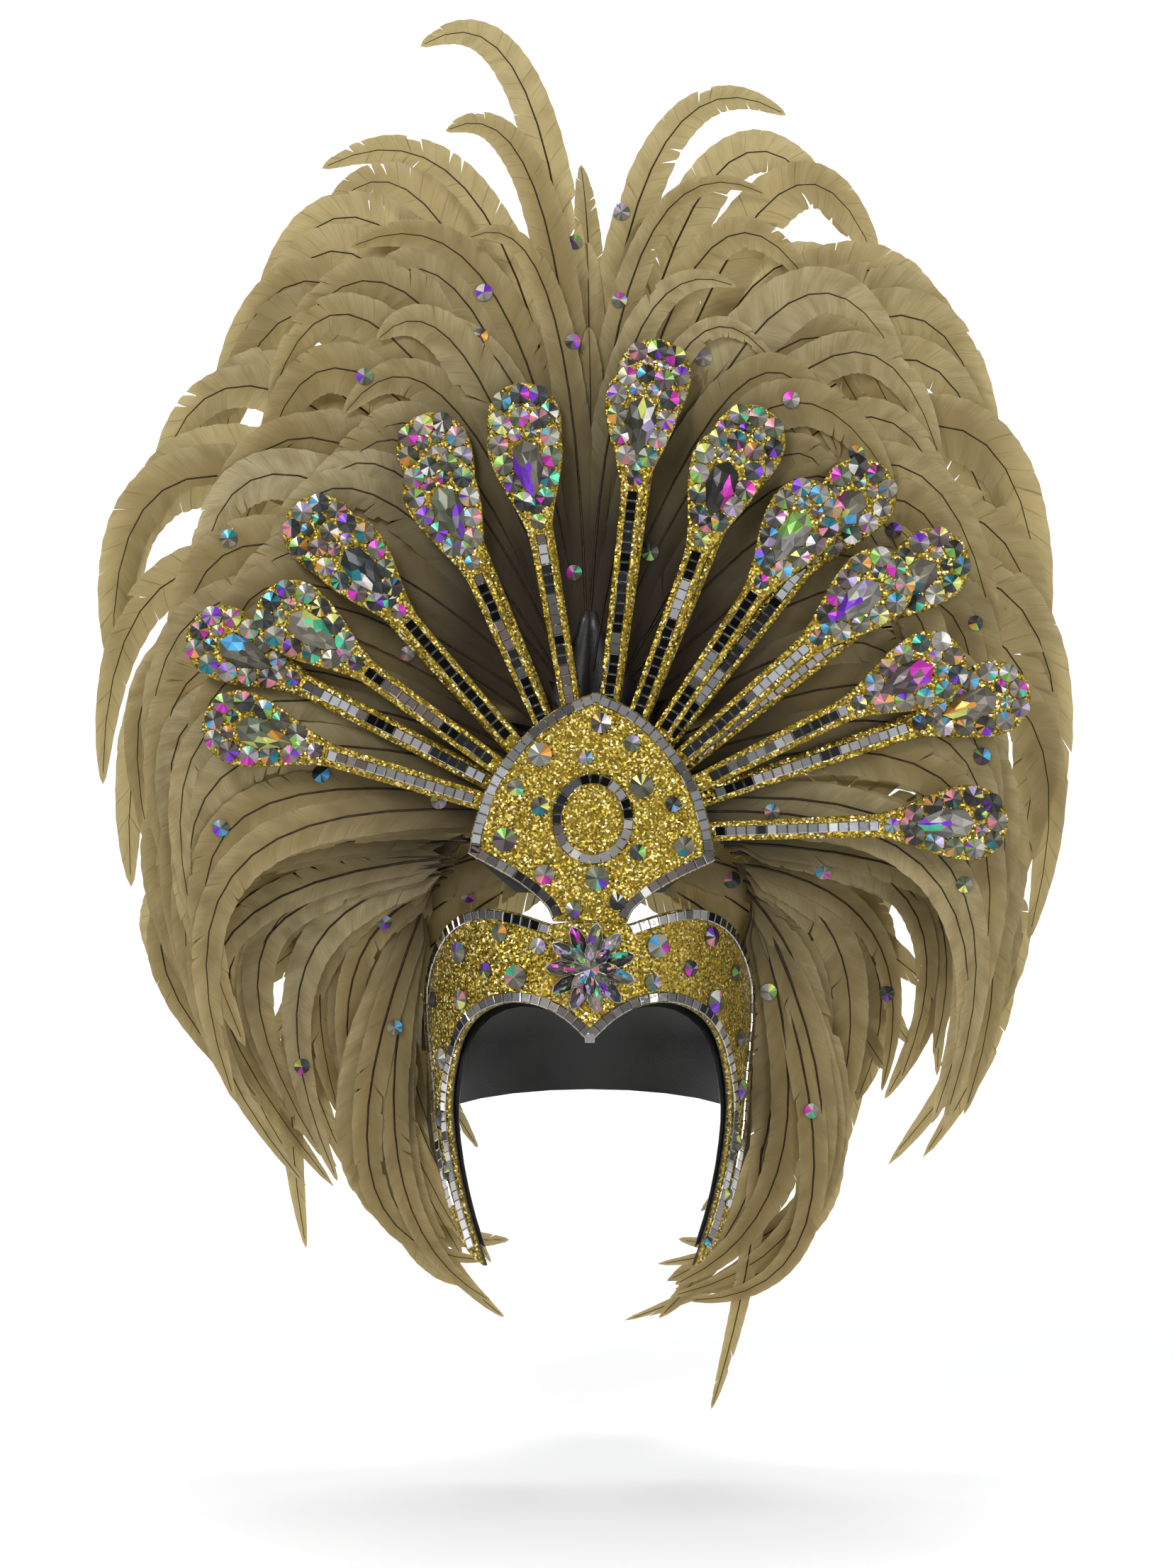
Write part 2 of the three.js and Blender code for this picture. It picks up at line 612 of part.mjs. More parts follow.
function buildHub() {
  const upper = curveThrough(CREST_EDGE.slice(CREST_CORNER), 8).map((p) => {
    return new THREE.Vector2(p.x * HUB.shrink, HUB.cornerZ + (p.y - HUB.cornerZ) * HUB.shrink);
  });
  const half = [new THREE.Vector2(HUB.lowX, HUB.lowZ), ...upper];
  addPiece('paddle_hub', prism([...half, ...mirrored(half).slice(1)], HUB_Y, HUB_THICK), GOLD);
}

// One feather: a thin ridged blade along a path bent by its belly
function feather(root, belly, tip, halfWidth) {
  const path = new THREE.QuadraticBezierCurve3(root, belly, tip);
  const front = new THREE.Vector3(0, -1, 0);
  const hand = Math.sign(root.x);
  const rings = [];
  for (let i = 0; i <= FEATHER_STATIONS; i += 1) {
    const w = i / FEATHER_STATIONS;
    const end = Math.sqrt(Math.max(1 - w ** BLADE.blunt, 0));
    const spread = Math.min(1, BLADE.root + BLADE.swell * w) * Math.max(end, BLADE.tip);
    const middle = path.getPoint(w);
    const across = path.getTangent(w).cross(front).setLength(hand * halfWidth * spread);
    const ridge = front.clone().multiplyScalar(FEATHER_RIDGE * Math.max(spread, BLADE.leastRidge));
    rings.push([middle.clone().sub(across), middle.clone().add(across), middle.clone().add(ridge)]);
  }
  return loft(rings);
}

// The flow between two rows of a table
function flowAt(rows, share) {
  const f = share * (rows.length - 1);
  const i = Math.min(Math.floor(f), rows.length - 2);
  const next = rows[i + 1];
  const between = (key) => rows[i][key].map((a, c) => THREE.MathUtils.lerp(a, next[key][c], f - i));
  return { root: between('root'), belly: between('belly'), tip: between('tip') };
}

function fromCentre([x, z], reach) {
  return new THREE.Vector2(x * reach, PLUME_CENTRE_Z + (z - PLUME_CENTRE_Z) * reach);
}

function buildCrownPlumes() {
  CROWN_LAYERS.forEach((layer, k) => {
    const plateY = PLUME_Y + k * (PLUME_PLATE + GAP);
    for (const side of ['left', 'right']) {
      const rows = CROWN_FLOW[side];
      const sign = side === 'left' ? -1 : 1;
      const edge = rows.map((row) => fromCentre(row.root, layer.rootReach));
      const seam = sign * GAP;
      edge.push(new THREE.Vector2(seam, edge.at(-1).y));
      edge.push(new THREE.Vector2(seam, edge[0].y - PLUME_ROOT.skirt));
      const pieces = [prism(edge, plateY, PLUME_PLATE)];
      const middle = new THREE.Vector2(sign * PLUME_ROOT.x, PLUME_ROOT.z);
      for (let i = 0; i < layer.feathers; i += 1) {
        const flow = flowAt(rows, i / (layer.feathers - 1));
        const root = fromCentre(flow.root, layer.rootReach).lerp(middle, PLUME_ROOT.pull);
        const belly = fromCentre(flow.belly, layer.reach);
        const tip = fromCentre(flow.tip, layer.reach);
        const y = plateY + FEATHER_RIDGE + PLUME_SINK;
        const lift = i % 2;
        pieces.push(feather(
          new THREE.Vector3(root.x, y, root.y),
          new THREE.Vector3(belly.x, y + layer.belly + lift, belly.y),
          new THREE.Vector3(tip.x, y + layer.tip + 2 * lift, tip.y),
          layer.halfWidth,
        ));
      }
      addPiece(`plume_${layer.name}_${side}`, join(pieces), FEATHER);
    }
  });
}

function buildSidePlumes() {
  for (const side of ['left', 'right']) {
    const rows = SIDE_FLOW[side];
    const sign = side === 'left' ? -1 : 1;
    const inner = rows.map(({ root: [x, z] }) => new THREE.Vector2(x - sign * SIDE_PLATE.inside, z));
    const outer = inner.map((p) => new THREE.Vector2(p.x + sign * SIDE_PLATE.width, p.y)).reverse();
    const pieces = [prism([...inner, ...outer], SIDE_PLATE.y, SIDE_PLATE.thick)];
    for (const layer of SIDE_LAYERS) {
      for (let i = 0; i < layer.feathers; i += 1) {
        const flow = flowAt(rows, i / (layer.feathers - 1));
        const root = new THREE.Vector2(flow.root[0] + sign * SIDE_PLATE.rootIn, flow.root[1]);
        const shorten = (p) => root.clone().lerp(new THREE.Vector2(...p), layer.reach);
        const y = SIDE_PLATE.y + layer.root;
        const belly = shorten(flow.belly);
        const tip = shorten(flow.tip);
        const lift = i % 2;
        pieces.push(feather(
          new THREE.Vector3(root.x, y, root.y),
          new THREE.Vector3(belly.x, y + layer.belly + lift, belly.y),
          new THREE.Vector3(tip.x, y + layer.tip + 2 * lift, tip.y),
          layer.halfWidth,
        ));
      }
    }
    if (side === 'right') {
      const at = ([x, z], y) => new THREE.Vector3(x, SIDE_PLATE.y + y, z);
      const { root, belly, tip, depth, lean, halfWidth } = HANGING;
      pieces.push(feather(at(root, depth), at(belly, depth + lean), at(tip, depth + 2 * lean), halfWidth));
    }
    addPiece(`plume_side_${side}`, join(pieces), FEATHER);
  }
}

buildHeadpiece();
buildCap();
buildBrooch();
buildHub();
buildPaddles('front', FRONT_PADDLES, FRONT_PADDLE_Y);
buildPaddles('back', BACK_PADDLES, BACK_PADDLE_Y);
buildCrownPlumes();
buildSidePlumes();

export default object;
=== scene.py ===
import math

import bmesh
import bpy
import numpy as np
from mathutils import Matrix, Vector
from mathutils.bvhtree import BVHTree


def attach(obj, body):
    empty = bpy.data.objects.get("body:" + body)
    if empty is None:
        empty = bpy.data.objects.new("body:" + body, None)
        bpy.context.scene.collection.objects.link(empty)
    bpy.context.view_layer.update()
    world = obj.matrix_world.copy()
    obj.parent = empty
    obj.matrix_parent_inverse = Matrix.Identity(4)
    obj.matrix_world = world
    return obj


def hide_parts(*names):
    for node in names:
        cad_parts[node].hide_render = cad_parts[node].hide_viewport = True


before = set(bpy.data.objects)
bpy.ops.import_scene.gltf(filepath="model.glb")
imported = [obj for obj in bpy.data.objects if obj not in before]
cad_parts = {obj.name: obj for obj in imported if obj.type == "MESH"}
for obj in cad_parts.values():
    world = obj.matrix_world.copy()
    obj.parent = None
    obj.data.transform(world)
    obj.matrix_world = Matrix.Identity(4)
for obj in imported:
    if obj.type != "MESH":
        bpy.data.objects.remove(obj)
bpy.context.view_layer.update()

MM = 0.001
FRONT = np.array([0.0, -1.0, 0.0])
chance = np.random.default_rng(504)

# Sizes in millimetres, as in the solids: the face looks along -Y and z = 0 is at the crown of the head
SHEET = 3.0
GAP = 0.3
BAND_HALF_WIDTH = 97.0
BAND_HALF_DEPTH = 106.0
CREST_FRONT = -BAND_HALF_DEPTH
BAND_OUTER = np.array([
    (21, 14), (42, 20), (60, 21.5), (76, 15), (87, 1), (93.5, -19), (94.4, -42), (91.2, -75),
    (88.6, -105), (83.4, -130), (76, -152), (66, -169), (58, -174)], float)
BAND_INNER = np.array([
    (58, -174), (67, -148), (73.5, -123), (77, -100), (77.5, -84), (75, -66), (70, -49), (61, -37),
    (47, -30), (31, -30), (15, -37), (0, -50.5)], float)
CREST_LOW = np.array([(20, 15), (25, 24), (42, 37), (67, 50)], float)
CREST_HIGH = np.array([(67, 50), (64, 68), (55.5, 92), (39, 115), (20, 131), (0, 140)], float)
CREST_ROLL = math.radians(1.6)
CREST_PIVOT = np.array([0.0, 15.0])
MEDALLION = np.array([1.5, 71.0])
MEDALLION_HALF = np.array([22.0, 24.4])
CREST_STONES = np.array([
    (6, 123, 11), (-27, 106, 13), (-2, 104, 7.5), (23, 112, 9), (-40, 88, 9), (28, 89, 13), (-27, 78, 10),
    (45, 79, 8.5), (-46, 60, 13), (51, 56, 11), (26, 53, 9), (-24.5, 41, 11), (4, 39, 13), (-9, 22, 9),
    (15, 26, 9)], float)
BAND_STONES = np.array([
    (-49, 9, 10), (-72, -3, 12), (-57, -12, 8.5), (-28, 2, 9), (-40, -15, 13), (-88, -31, 9), (-71, -29, 11),
    (-82, -63, 12), (-83.6, -96, 10), (-79, -126, 9), (37, 2, 13), (67, 6, 11), (55, -11, 9), (81, -15, 9),
    (34, -18, 9), (69, -30, 13), (84, -52, 9.5), (84.5, -81, 12), (82, -110, 9), (76, -137, 9),
    (65, -162, 7)], float)
FAN = np.array([2.0, 62.0])
FAN_ROOT = 52.0
FRONT_PADDLES = np.array([
    (163, 221), (144, 222), (131, 224), (114, 225), (100, 236), (83.5, 258), (70, 234), (56.5, 228),
    (41.5, 225), (26.5, 224), (2, 225)], float)
BACK_PADDLES = np.array([
    (152.5, 248), (132, 243), (112.5, 248), (99.5, 250), (82.5, 273), (68.5, 251), (52, 256), (38.5, 257),
    (19, 251)], float)
FRONT_PADDLE_Y = CREST_FRONT + SHEET + GAP
BACK_PADDLE_Y = FRONT_PADDLE_Y + SHEET + GAP + 5.5 + GAP
PLUME_Y = BACK_PADDLE_Y + SHEET + GAP
PLUME_CENTRE = np.array([0.0, 80.0])

# One row per feather: root, pull of the belly and tip in the front view
CROWN_FLOW = {
    "left": np.array([
        [(-58, 62), (-265, 100), (-205, -80)], [(-57, 86), (-298, 150), (-228, -40)],
        [(-51, 117), (-298, 215), (-250, 15)], [(-44, 148), (-275, 290), (-266, 80)],
        [(-35, 179), (-262, 340), (-283, 151)], [(-28, 200), (-200, 400), (-250, 235)],
        [(-24, 210), (-160, 440), (-232, 278)], [(-18, 220), (-135, 478), (-212, 325)],
        [(-12, 234), (-100, 490), (-195, 388)], [(-9, 244), (-50, 500), (-157, 448)],
        [(-5, 254), (-20, 450), (-99, 520)]], float),
    "right": np.array([
        [(62, 62), (262, 98), (200, -98)], [(64, 86), (290, 140), (220, -70)],
        [(58, 117), (292, 210), (240, -8)], [(52, 154), (272, 285), (250, 48)],
        [(43, 185), (255, 350), (262, 118)], [(32, 205), (215, 420), (258, 180)],
        [(24, 215), (170, 460), (238, 262)], [(18, 225), (125, 490), (220, 325)],
        [(12, 236), (80, 520), (162, 418)], [(6, 254), (20, 440), (112, 482)]], float),
}
SIDE_FLOW = {
    "left": np.array([
        [(-70, 62), (-345, 60), (-188, -96)], [(-68, 58), (-315, 62), (-186, -90)],
        [(-72, 50), (-305, 30), (-161, -141)], [(-74, 46), (-255, 40), (-152, -120)],
        [(-72, 66), (-205, 80), (-163, -24)], [(-76, 42), (-215, 20), (-143, -138)],
        [(-80, 38), (-180, 30), (-144, -98)], [(-84, 34), (-180, -5), (-106, -165)],
        [(-86, 32), (-155, 0), (-120, -142)], [(-90, 30), (-155, -40), (-76, -172)],
        [(-90, 30), (-128, -20), (-88, -122)], [(-91, 28), (-176, -180), (-58, -178)],
        [(-92, 28), (-146, -160), (-52, -206)], [(-66, 60), (-112, 60), (-110, -6)],
        [(-66, 58), (-150, 55), (-162, -20)], [(-66, 70), (-220, 110), (-215, 10)]], float),
    "right": np.array([
        [(70, 64), (330, 75), (200, -66)], [(72, 58), (330, 50), (173, -124)],
        [(70, 70), (240, 100), (221, -18)], [(74, 60), (235, 75), (196, -66)],
        [(74, 56), (235, 60), (176, -84)], [(70, 72), (190, 90), (148, -34)],
        [(80, 46), (200, 30), (164, -88)], [(82, 42), (180, 20), (136, -122)],
        [(78, 52), (170, 50), (112, -108)], [(86, 36), (138, 10), (112, -80)],
        [(88, 30), (170, -60), (82, -178)], [(90, 30), (196, -170), (48, -198)],
        [(91, 28), (152, -150), (50, -200)], [(92, 28), (176, -205), (60, -204)],
        [(90, 30), (130, -30), (94, -130)]], float),
}
SIDE_PLATE = np.array([(76, 58), (80, 46), (84, 34), (92, 8), (98.5, -24), (98.5, -62)], float)
HANGING = np.array([[(99.5, -58), (103, -165), (70, -270)]], float)


# Curves and grids

def spline(points, count):
    """Uniform Catmull-Rom curve through the points, with count points evenly spaced along its length."""
    p = np.vstack([2 * points[0] - points[1], points, 2 * points[-1] - points[-2]])
    f = np.linspace(0, len(points) - 1 - 1e-9, 40 * len(points))
    i = f.astype(int)
    t = (f - i)[:, None]
    a, b, c, d = p[i], p[i + 1], p[i + 2], p[i + 3]
    curve = 0.5 * (2 * b + (c - a) * t + (2 * a - 5 * b + 4 * c - d) * t**2 + (3 * b - a - 3 * c + d) * t**3)
    return even(curve, count)


def even(curve, count):
    """The same polyline with count points evenly spaced along its length."""
    run = np.concatenate([[0], np.cumsum(np.linalg.norm(np.diff(curve, axis=0), axis=1))])
    at = np.linspace(0, run[-1], count)
    return np.stack([np.interp(at, run, curve[:, k]) for k in range(curve.shape[1])], axis=1)


def unit(v):
    """Vectors scaled to length one."""
    return v / np.maximum(np.linalg.norm(v, axis=-1, keepdims=True), 1e-12)


def inset(edge, distance):
    """A front view edge moved to its right-hand side by a distance."""
    along = unit(np.gradient(edge, axis=0))
    return edge + distance * np.stack([along[:, 1], -along[:, 0]], axis=1)


def grid_faces(rows, cols, wrap=False, copies=1):
    """Quads of a rows by cols grid, for a number of grids stored one after another."""
    r = np.arange(rows - 1)[:, None]
    c = np.arange(cols if wrap else cols - 1)[None]
    n = (c + 1) % cols
    here, ahead = r * cols, (r + 1) * cols
    quads = np.stack(np.broadcast_arrays(here + c, here + n, ahead + n, ahead + c), -1)
    quads = quads.reshape(-1, 4)
    return (np.arange(copies)[:, None, None] * rows * cols + quads).reshape(-1, 4)


def on_band(flat, lift):
    """Front view points laid on the bent band: an ellipse seen from above, lifted along its normal."""
    x, z = flat[..., 0], flat[..., 1]
    y = -BAND_HALF_DEPTH * np.sqrt(np.maximum(1 - (x / BAND_HALF_WIDTH) ** 2, 0))
    normal = unit(np.stack([x / BAND_HALF_WIDTH**2, y / BAND_HALF_DEPTH**2, 0 * x], -1))
    lift = np.broadcast_to(lift, x.shape)
    return np.stack([x, y, z], -1) + normal * lift[..., None], normal


def on_crest(flat, lift):
    """Front view points laid on the crest: flat, but bent like the band at its neck."""
    x, z = flat[..., 0], flat[..., 1]
    bent = -BAND_HALF_DEPTH * np.sqrt(np.maximum(1 - (x / BAND_HALF_WIDTH) ** 2, 0)) - CREST_FRONT
    neck = np.clip((38 - z) / 22, 0, 1)
    y = CREST_FRONT + bent * neck**2 * (3 - 2 * neck) - np.broadcast_to(lift, x.shape)
    return np.stack([x, y, z], -1), np.broadcast_to(FRONT, x.shape + (3,))


def rolled(flat):
    """Front view points of the crest, leaning a little to one side about its neck."""
    c, s = math.cos(-CREST_ROLL), math.sin(-CREST_ROLL)
    return (flat - CREST_PIVOT) @ np.array([[c, s], [-s, c]]) + CREST_PIVOT


# Meshes

def piece(name, points, faces, materials, nodes, smooth=True, which=None, uv=None, values=None,
          colours=None):
    """Puts points in millimetres and faces into a mesh that rides on the part and stands for the nodes."""
    mesh = bpy.data.meshes.new(name)
    faces = faces if isinstance(faces, list) else faces.tolist()
    mesh.from_pydata((points.reshape(-1, 3) * MM).tolist(), [], faces)
    for material in materials:
        mesh.materials.append(material)
    count = len(mesh.polygons)
    mesh.polygons.foreach_set("use_smooth", np.full(count, smooth, bool))
    if which is not None:
        mesh.polygons.foreach_set("material_index", np.asarray(which, np.int32))
    corner = np.empty(len(mesh.loops), np.int32)
    mesh.loops.foreach_get("vertex_index", corner)
    if uv is not None:
        layer = mesh.uv_layers.new(name="barbs")
        layer.data.foreach_set("uv", uv.reshape(-1, 2)[corner].astype(np.float32).ravel())
    for key, value in (values or {}).items():
        layer = mesh.attributes.new(key, "FLOAT", "POINT")
        layer.data.foreach_set("value", np.ascontiguousarray(value, np.float32).ravel())
    if colours is not None:
        sizes = np.empty(count, np.int32)
        mesh.polygons.foreach_get("loop_total", sizes)
        layer = mesh.color_attributes.new("facet", "FLOAT_COLOR", "CORNER")
        rgba = np.concatenate([colours, np.ones((count, 1))], 1)
        layer.data.foreach_set("color", np.repeat(rgba, sizes, axis=0).astype(np.float32).ravel())
    mesh.update()
    item = bpy.data.objects.new(name, mesh)
    bpy.context.scene.collection.objects.link(item)
    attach(item, "root")
    if nodes:
        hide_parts(*nodes)
    return item


# Shaders

class Wire:
    """One shader socket. Arithmetic on wires adds Math nodes to the tree."""

    def __init__(self, tree, socket=None):
        self.tree = tree
        self.socket = socket

    def node(self, kind, out=0, settings=None, inputs=None):
        """Adds any node: its settings first, then the values or links of its sockets. Gives one output."""
        node = self.tree.nodes.new(kind)
        for key, value in (settings or {}).items():
            if key == "stops":
                for _ in range(len(value) - len(node.color_ramp.elements)):
                    node.color_ramp.elements.new(0.5)
                for element, (place, colour) in zip(node.color_ramp.elements, value):
                    element.position = place
                    element.color = (*colour, 1)
            else:
                setattr(node, key, value)
        for key, value in (inputs or {}).items():
            if isinstance(value, Wire):
                self.tree.links.new(value.socket, node.inputs[key])
            else:
                node.inputs[key].default_value = value
        return Wire(self.tree, node.outputs[out])

    def other(self, out):
        """Another output of the same node."""
        return Wire(self.tree, self.socket.node.outputs[out])

    def math(self, operation, *values):
        return self.node("ShaderNodeMath", 0, {"operation": operation}, dict(enumerate(values)))

    def __add__(self, value):
        return self.math("ADD", self, value)

    def __sub__(self, value):
        return self.math("SUBTRACT", self, value)

    def __rsub__(self, value):
        return self.math("SUBTRACT", value, self)

    def __mul__(self, value):
        return self.math("MULTIPLY", self, value)

    def __truediv__(self, value):
        return self.math("DIVIDE", self, value)

    def __gt__(self, value):
        return self.math("GREATER_THAN", self, value)

    def __pow__(self, value):
        return self.math("POWER", self, value)

    __radd__ = __add__
    __rmul__ = __mul__

    def clamp(self):
        return self.math("MINIMUM", self.math("MAXIMUM", self, 0.0), 1.0)

    def mix(self, a, b, blend="MIX"):
        """Colour a to colour b by this wire."""
        as_colour = lambda c: c if isinstance(c, Wire) else (*c, 1)
        return self.node("ShaderNodeMix", 2, {"data_type": "RGBA", "blend_type": blend},
                         {0: self, 6: as_colour(a), 7: as_colour(b)})

    def ramp(self, *stops):
        """Colour by this wire's place between the stops."""
        return self.node("ShaderNodeValToRGB", 0, {"stops": stops}, {0: self})


def finish(name, **sockets):
    """A material of one Principled shader with constant values on its sockets."""
    material = bpy.data.materials.new(name)
    material.use_nodes = True
    tree = material.node_tree
    shader = tree.nodes["Principled BSDF"]
    for key, value in sockets.items():
        shader.inputs[key.replace("_", " ")].default_value = value
    return material, shader, Wire(tree)


def feed(wire, shader, key):
    wire.tree.links.new(wire.socket, shader.inputs[key])


def gold_glitter():
    """Glitter: flakes are small cells, each with its own tilt and a tone from near black to near white,
    partly the gold's grain and partly painted shade and glints; edges and back are dark foam.
    """
    material, shader, w = finish("gold_glitter", Roughness=0.32, Specular_IOR_Level=0.6)
    place = w.node("ShaderNodeTexCoord", "Object")
    flakes = w.node("ShaderNodeTexVoronoi", "Color", {"feature": "F1"}, {"Vector": place, "Scale": 1000.0})
    tone = flakes.node("ShaderNodeSeparateColor", 0, None, {0: flakes})
    broad = w.node("ShaderNodeTexNoise", 0, None, {"Vector": place, "Scale": 60.0, "Detail": 3.0})
    # Flake tones from near black to near white: the gold's own grain, with painted shade on the darkest
    # flakes and painted glints on the brightest
    gold = tone.ramp((0.0, (0.05, 0.03, 0.002)), (0.35, (0.17, 0.105, 0.006)), (0.68, (0.36, 0.235, 0.014)),
                     (0.86, (0.75, 0.55, 0.07)), (0.96, (1.0, 0.95, 0.55)))
    gold = ((broad - 0.5) * 1.2 + 0.3).clamp().mix(gold, (0.24, 0.17, 0.015))
    rim = w.node("ShaderNodeAttribute", 2, {"attribute_name": "rim"})
    feed(rim.mix(gold, (0.02, 0.016, 0.01)), shader, "Base Color")
    feed((1 - rim) * 0.75, shader, "Metallic")
    feed(rim * 0.4 + 0.3, shader, "Roughness")
    tilt = w.node("ShaderNodeVectorMath", 0, {"operation": "SUBTRACT"}, {0: flakes, 1: (0.5, 0.5, 0.5)})
    tilt = w.node("ShaderNodeVectorMath", 0, {"operation": "SCALE"}, {0: tilt, "Scale": 0.9})
    normal = w.node("ShaderNodeNewGeometry", "Normal")
    normal = w.node("ShaderNodeVectorMath", 0, {"operation": "ADD"}, {0: normal, 1: tilt})
    feed(w.node("ShaderNodeVectorMath", 0, {"operation": "NORMALIZE"}, {0: normal}), shader, "Normal")
    return material


def mirror_tile():
    """Mirror glass: each tile's colour is a painted reflection, with a faint waviness in its silvering."""
    material, shader, w = finish("mirror_tile", Metallic=1.0, Roughness=0.07)
    feed(w.node("ShaderNodeVertexColor", 0, {"layer_name": "facet"}), shader, "Base Color")
    place = w.node("ShaderNodeTexCoord", "Object")
    wave = w.node("ShaderNodeTexNoise", 0, None, {"Vector": place, "Scale": 260.0, "Detail": 2.0})
    bump = {"Strength": 0.12, "Distance": 0.0004, "Height": wave}
    feed(w.node("ShaderNodeBump", 0, None, bump), shader, "Normal")
    return material


def cut_crystal():
    """Foil-backed crystal with a rainbow coating: one colour per facet, carrying painted reflections, under a
    clear hard coat.
    """
    material, shader, w = finish("cut_crystal", Metallic=0.3, Roughness=0.3, Specular_IOR_Level=0.25,
                                 Coat_Weight=0.06, Coat_Roughness=0.05)
    facet = w.node("ShaderNodeVertexColor", 0, {"layer_name": "facet"})
    place = w.node("ShaderNodeTexCoord", "Object")
    film = w.node("ShaderNodeTexNoise", 0, None, {"Vector": place, "Scale": 420.0, "Detail": 1.0})
    sheen = film.ramp((0.3, (0.75, 0.85, 1.0)), (0.5, (1.0, 1.0, 1.0)), (0.7, (1.0, 0.82, 0.9)))
    fade = w.node("ShaderNodeMix", 2, {"data_type": "RGBA", "blend_type": "MULTIPLY"},
                  {0: 0.7, 6: facet, 7: sheen})
    feed(fade, shader, "Base Color")
    return material


def feather_vane():
    """Vane: khaki, with painted shade and a darker tone at the root and near the crown's middle, paler at the
    edge, with fine barb lines and darker barb patches, partly painted fold shade, along the UV map.
    """
    material, shader, w = finish("feather_vane", Roughness=0.6, Sheen_Weight=0.2, Sheen_Roughness=0.4,
                                 Specular_IOR_Level=0.3)
    uv = w.node("ShaderNodeUVMap", 0, {"uv_map": "barbs"})
    u = w.node("ShaderNodeSeparateXYZ", 0, None, {0: uv})
    v = u.other(1)
    tint = w.node("ShaderNodeAttribute", 2, {"attribute_name": "tint"})
    along = w.node("ShaderNodeAttribute", 2, {"attribute_name": "along"})
    lines = w.node("ShaderNodeCombineXYZ", 0, None, {0: u * 110.0, 1: v * 1.6, 2: tint * 40.0})
    fine = w.node("ShaderNodeTexNoise", 0, None, {"Vector": lines, "Scale": 1.0, "Detail": 2.0})
    tufts = w.node("ShaderNodeCombineXYZ", 0, None, {0: u * 6.0, 1: v * 1.6, 2: tint * 40.0})
    barb_patch_shade = w.node("ShaderNodeTexNoise", 0, None, {"Vector": tufts, "Scale": 1.0, "Detail": 2.0})
    base = tint.ramp((0.0, (0.2, 0.145, 0.052)), (0.35, (0.3, 0.23, 0.095)), (0.7, (0.4, 0.325, 0.155)),
                     (1.0, (0.5, 0.43, 0.25)))
    place = w.node("ShaderNodeTexCoord", "Object")
    height = w.node("ShaderNodeSeparateXYZ", 2, None, {0: place})
    low = (0.75 - (height + 0.2) * 2.2).clamp()
    base = (low * 0.65).mix(base, (0.26, 0.165, 0.045))
    edge = (v - 0.5).math("ABSOLUTE", v - 0.5) * 2.0
    base = (edge**2.0 * 0.4).mix(base, (0.54, 0.46, 0.27))
    # Darker patches along the barbs: barb clumping with painted shade of folds
    base = ((barb_patch_shade - 0.5) * 1.8 + 0.2).clamp().mix(base, (0.19, 0.135, 0.045))
    base = ((fine - 0.45) * 1.5).clamp().mix(base, (0.15, 0.105, 0.035))
    # Painted shade with a darker tone, near black, at the roots and near the crown's middle, from the along
    # attribute
    base = (1 - along).mix(base, (0.03, 0.019, 0.006))
    feed(base, shader, "Base Color")
    bump = {"Strength": 0.35, "Distance": 0.0006, "Height": fine}
    feed(w.node("ShaderNodeBump", 0, None, bump), shader, "Normal")
    through = w.node("ShaderNodeBsdfTranslucent", 0, None, {"Color": (0.5, 0.4, 0.18, 1)})
    both = w.node("ShaderNodeMixShader", 0, None, {0: 0.38, 1: Wire(w.tree, shader.outputs[0]), 2: through})
    feed(both, w.tree.nodes["Material Output"], "Surface")
    return material


def feather_shaft():
    """Shaft: dark brown horn with a faint grain."""
    material, shader, w = finish("feather_shaft", Roughness=0.55, Specular_IOR_Level=0.2)
    place = w.node("ShaderNodeTexCoord", "Object")
    grain = w.node("ShaderNodeTexNoise", 0, None, {"Vector": place, "Scale": 300.0, "Detail": 2.0})
    feed(grain.ramp((0.3, (0.012, 0.007, 0.003)), (0.7, (0.035, 0.021, 0.01))), shader, "Base Color")
    return material


def black_foam():
    """Lining: black foam with a soft shine, fine pores and faint creases."""
    material, shader, w = finish("black_foam", Roughness=0.42)
    place = w.node("ShaderNodeTexCoord", "Object")
    pores = w.node("ShaderNodeTexNoise", 0, None, {"Vector": place, "Scale": 900.0, "Detail": 2.0})
    crease = w.node("ShaderNodeTexNoise", 0, None, {"Vector": place, "Scale": 35.0, "Detail": 4.0})
    feed(crease.ramp((0.3, (0.008, 0.008, 0.008)), (0.75, (0.028, 0.026, 0.024))), shader, "Base Color")
    feed(crease * 0.25 + 0.3, shader, "Roughness")
    feed(w.node("ShaderNodeBump", 0, None, {"Strength": 0.25, "Distance": 0.0005, "Height": pores + crease}),
         shader, "Normal")
    return material


def silver_setting():
    """Metal cups and claws under the stones: pale plated metal, worn duller in patches."""
    material, shader, w = finish("silver_setting", Metallic=1.0)
    place = w.node("ShaderNodeTexCoord", "Object")
    wear = w.node("ShaderNodeTexNoise", 0, None, {"Vector": place, "Scale": 500.0, "Detail": 3.0})
    feed(wear.ramp((0.3, (0.42, 0.42, 0.42)), (0.7, (0.78, 0.77, 0.75))), shader, "Base Color")
    feed(wear * 0.3 + 0.12, shader, "Roughness")
    return material


GLITTER = gold_glitter()
TILE = mirror_tile()
CRYSTAL = cut_crystal()
VANE = feather_vane()
SHAFT = feather_shaft()
FOAM = black_foam()
SILVER = silver_setting()


# The bent sheet: headband and crest

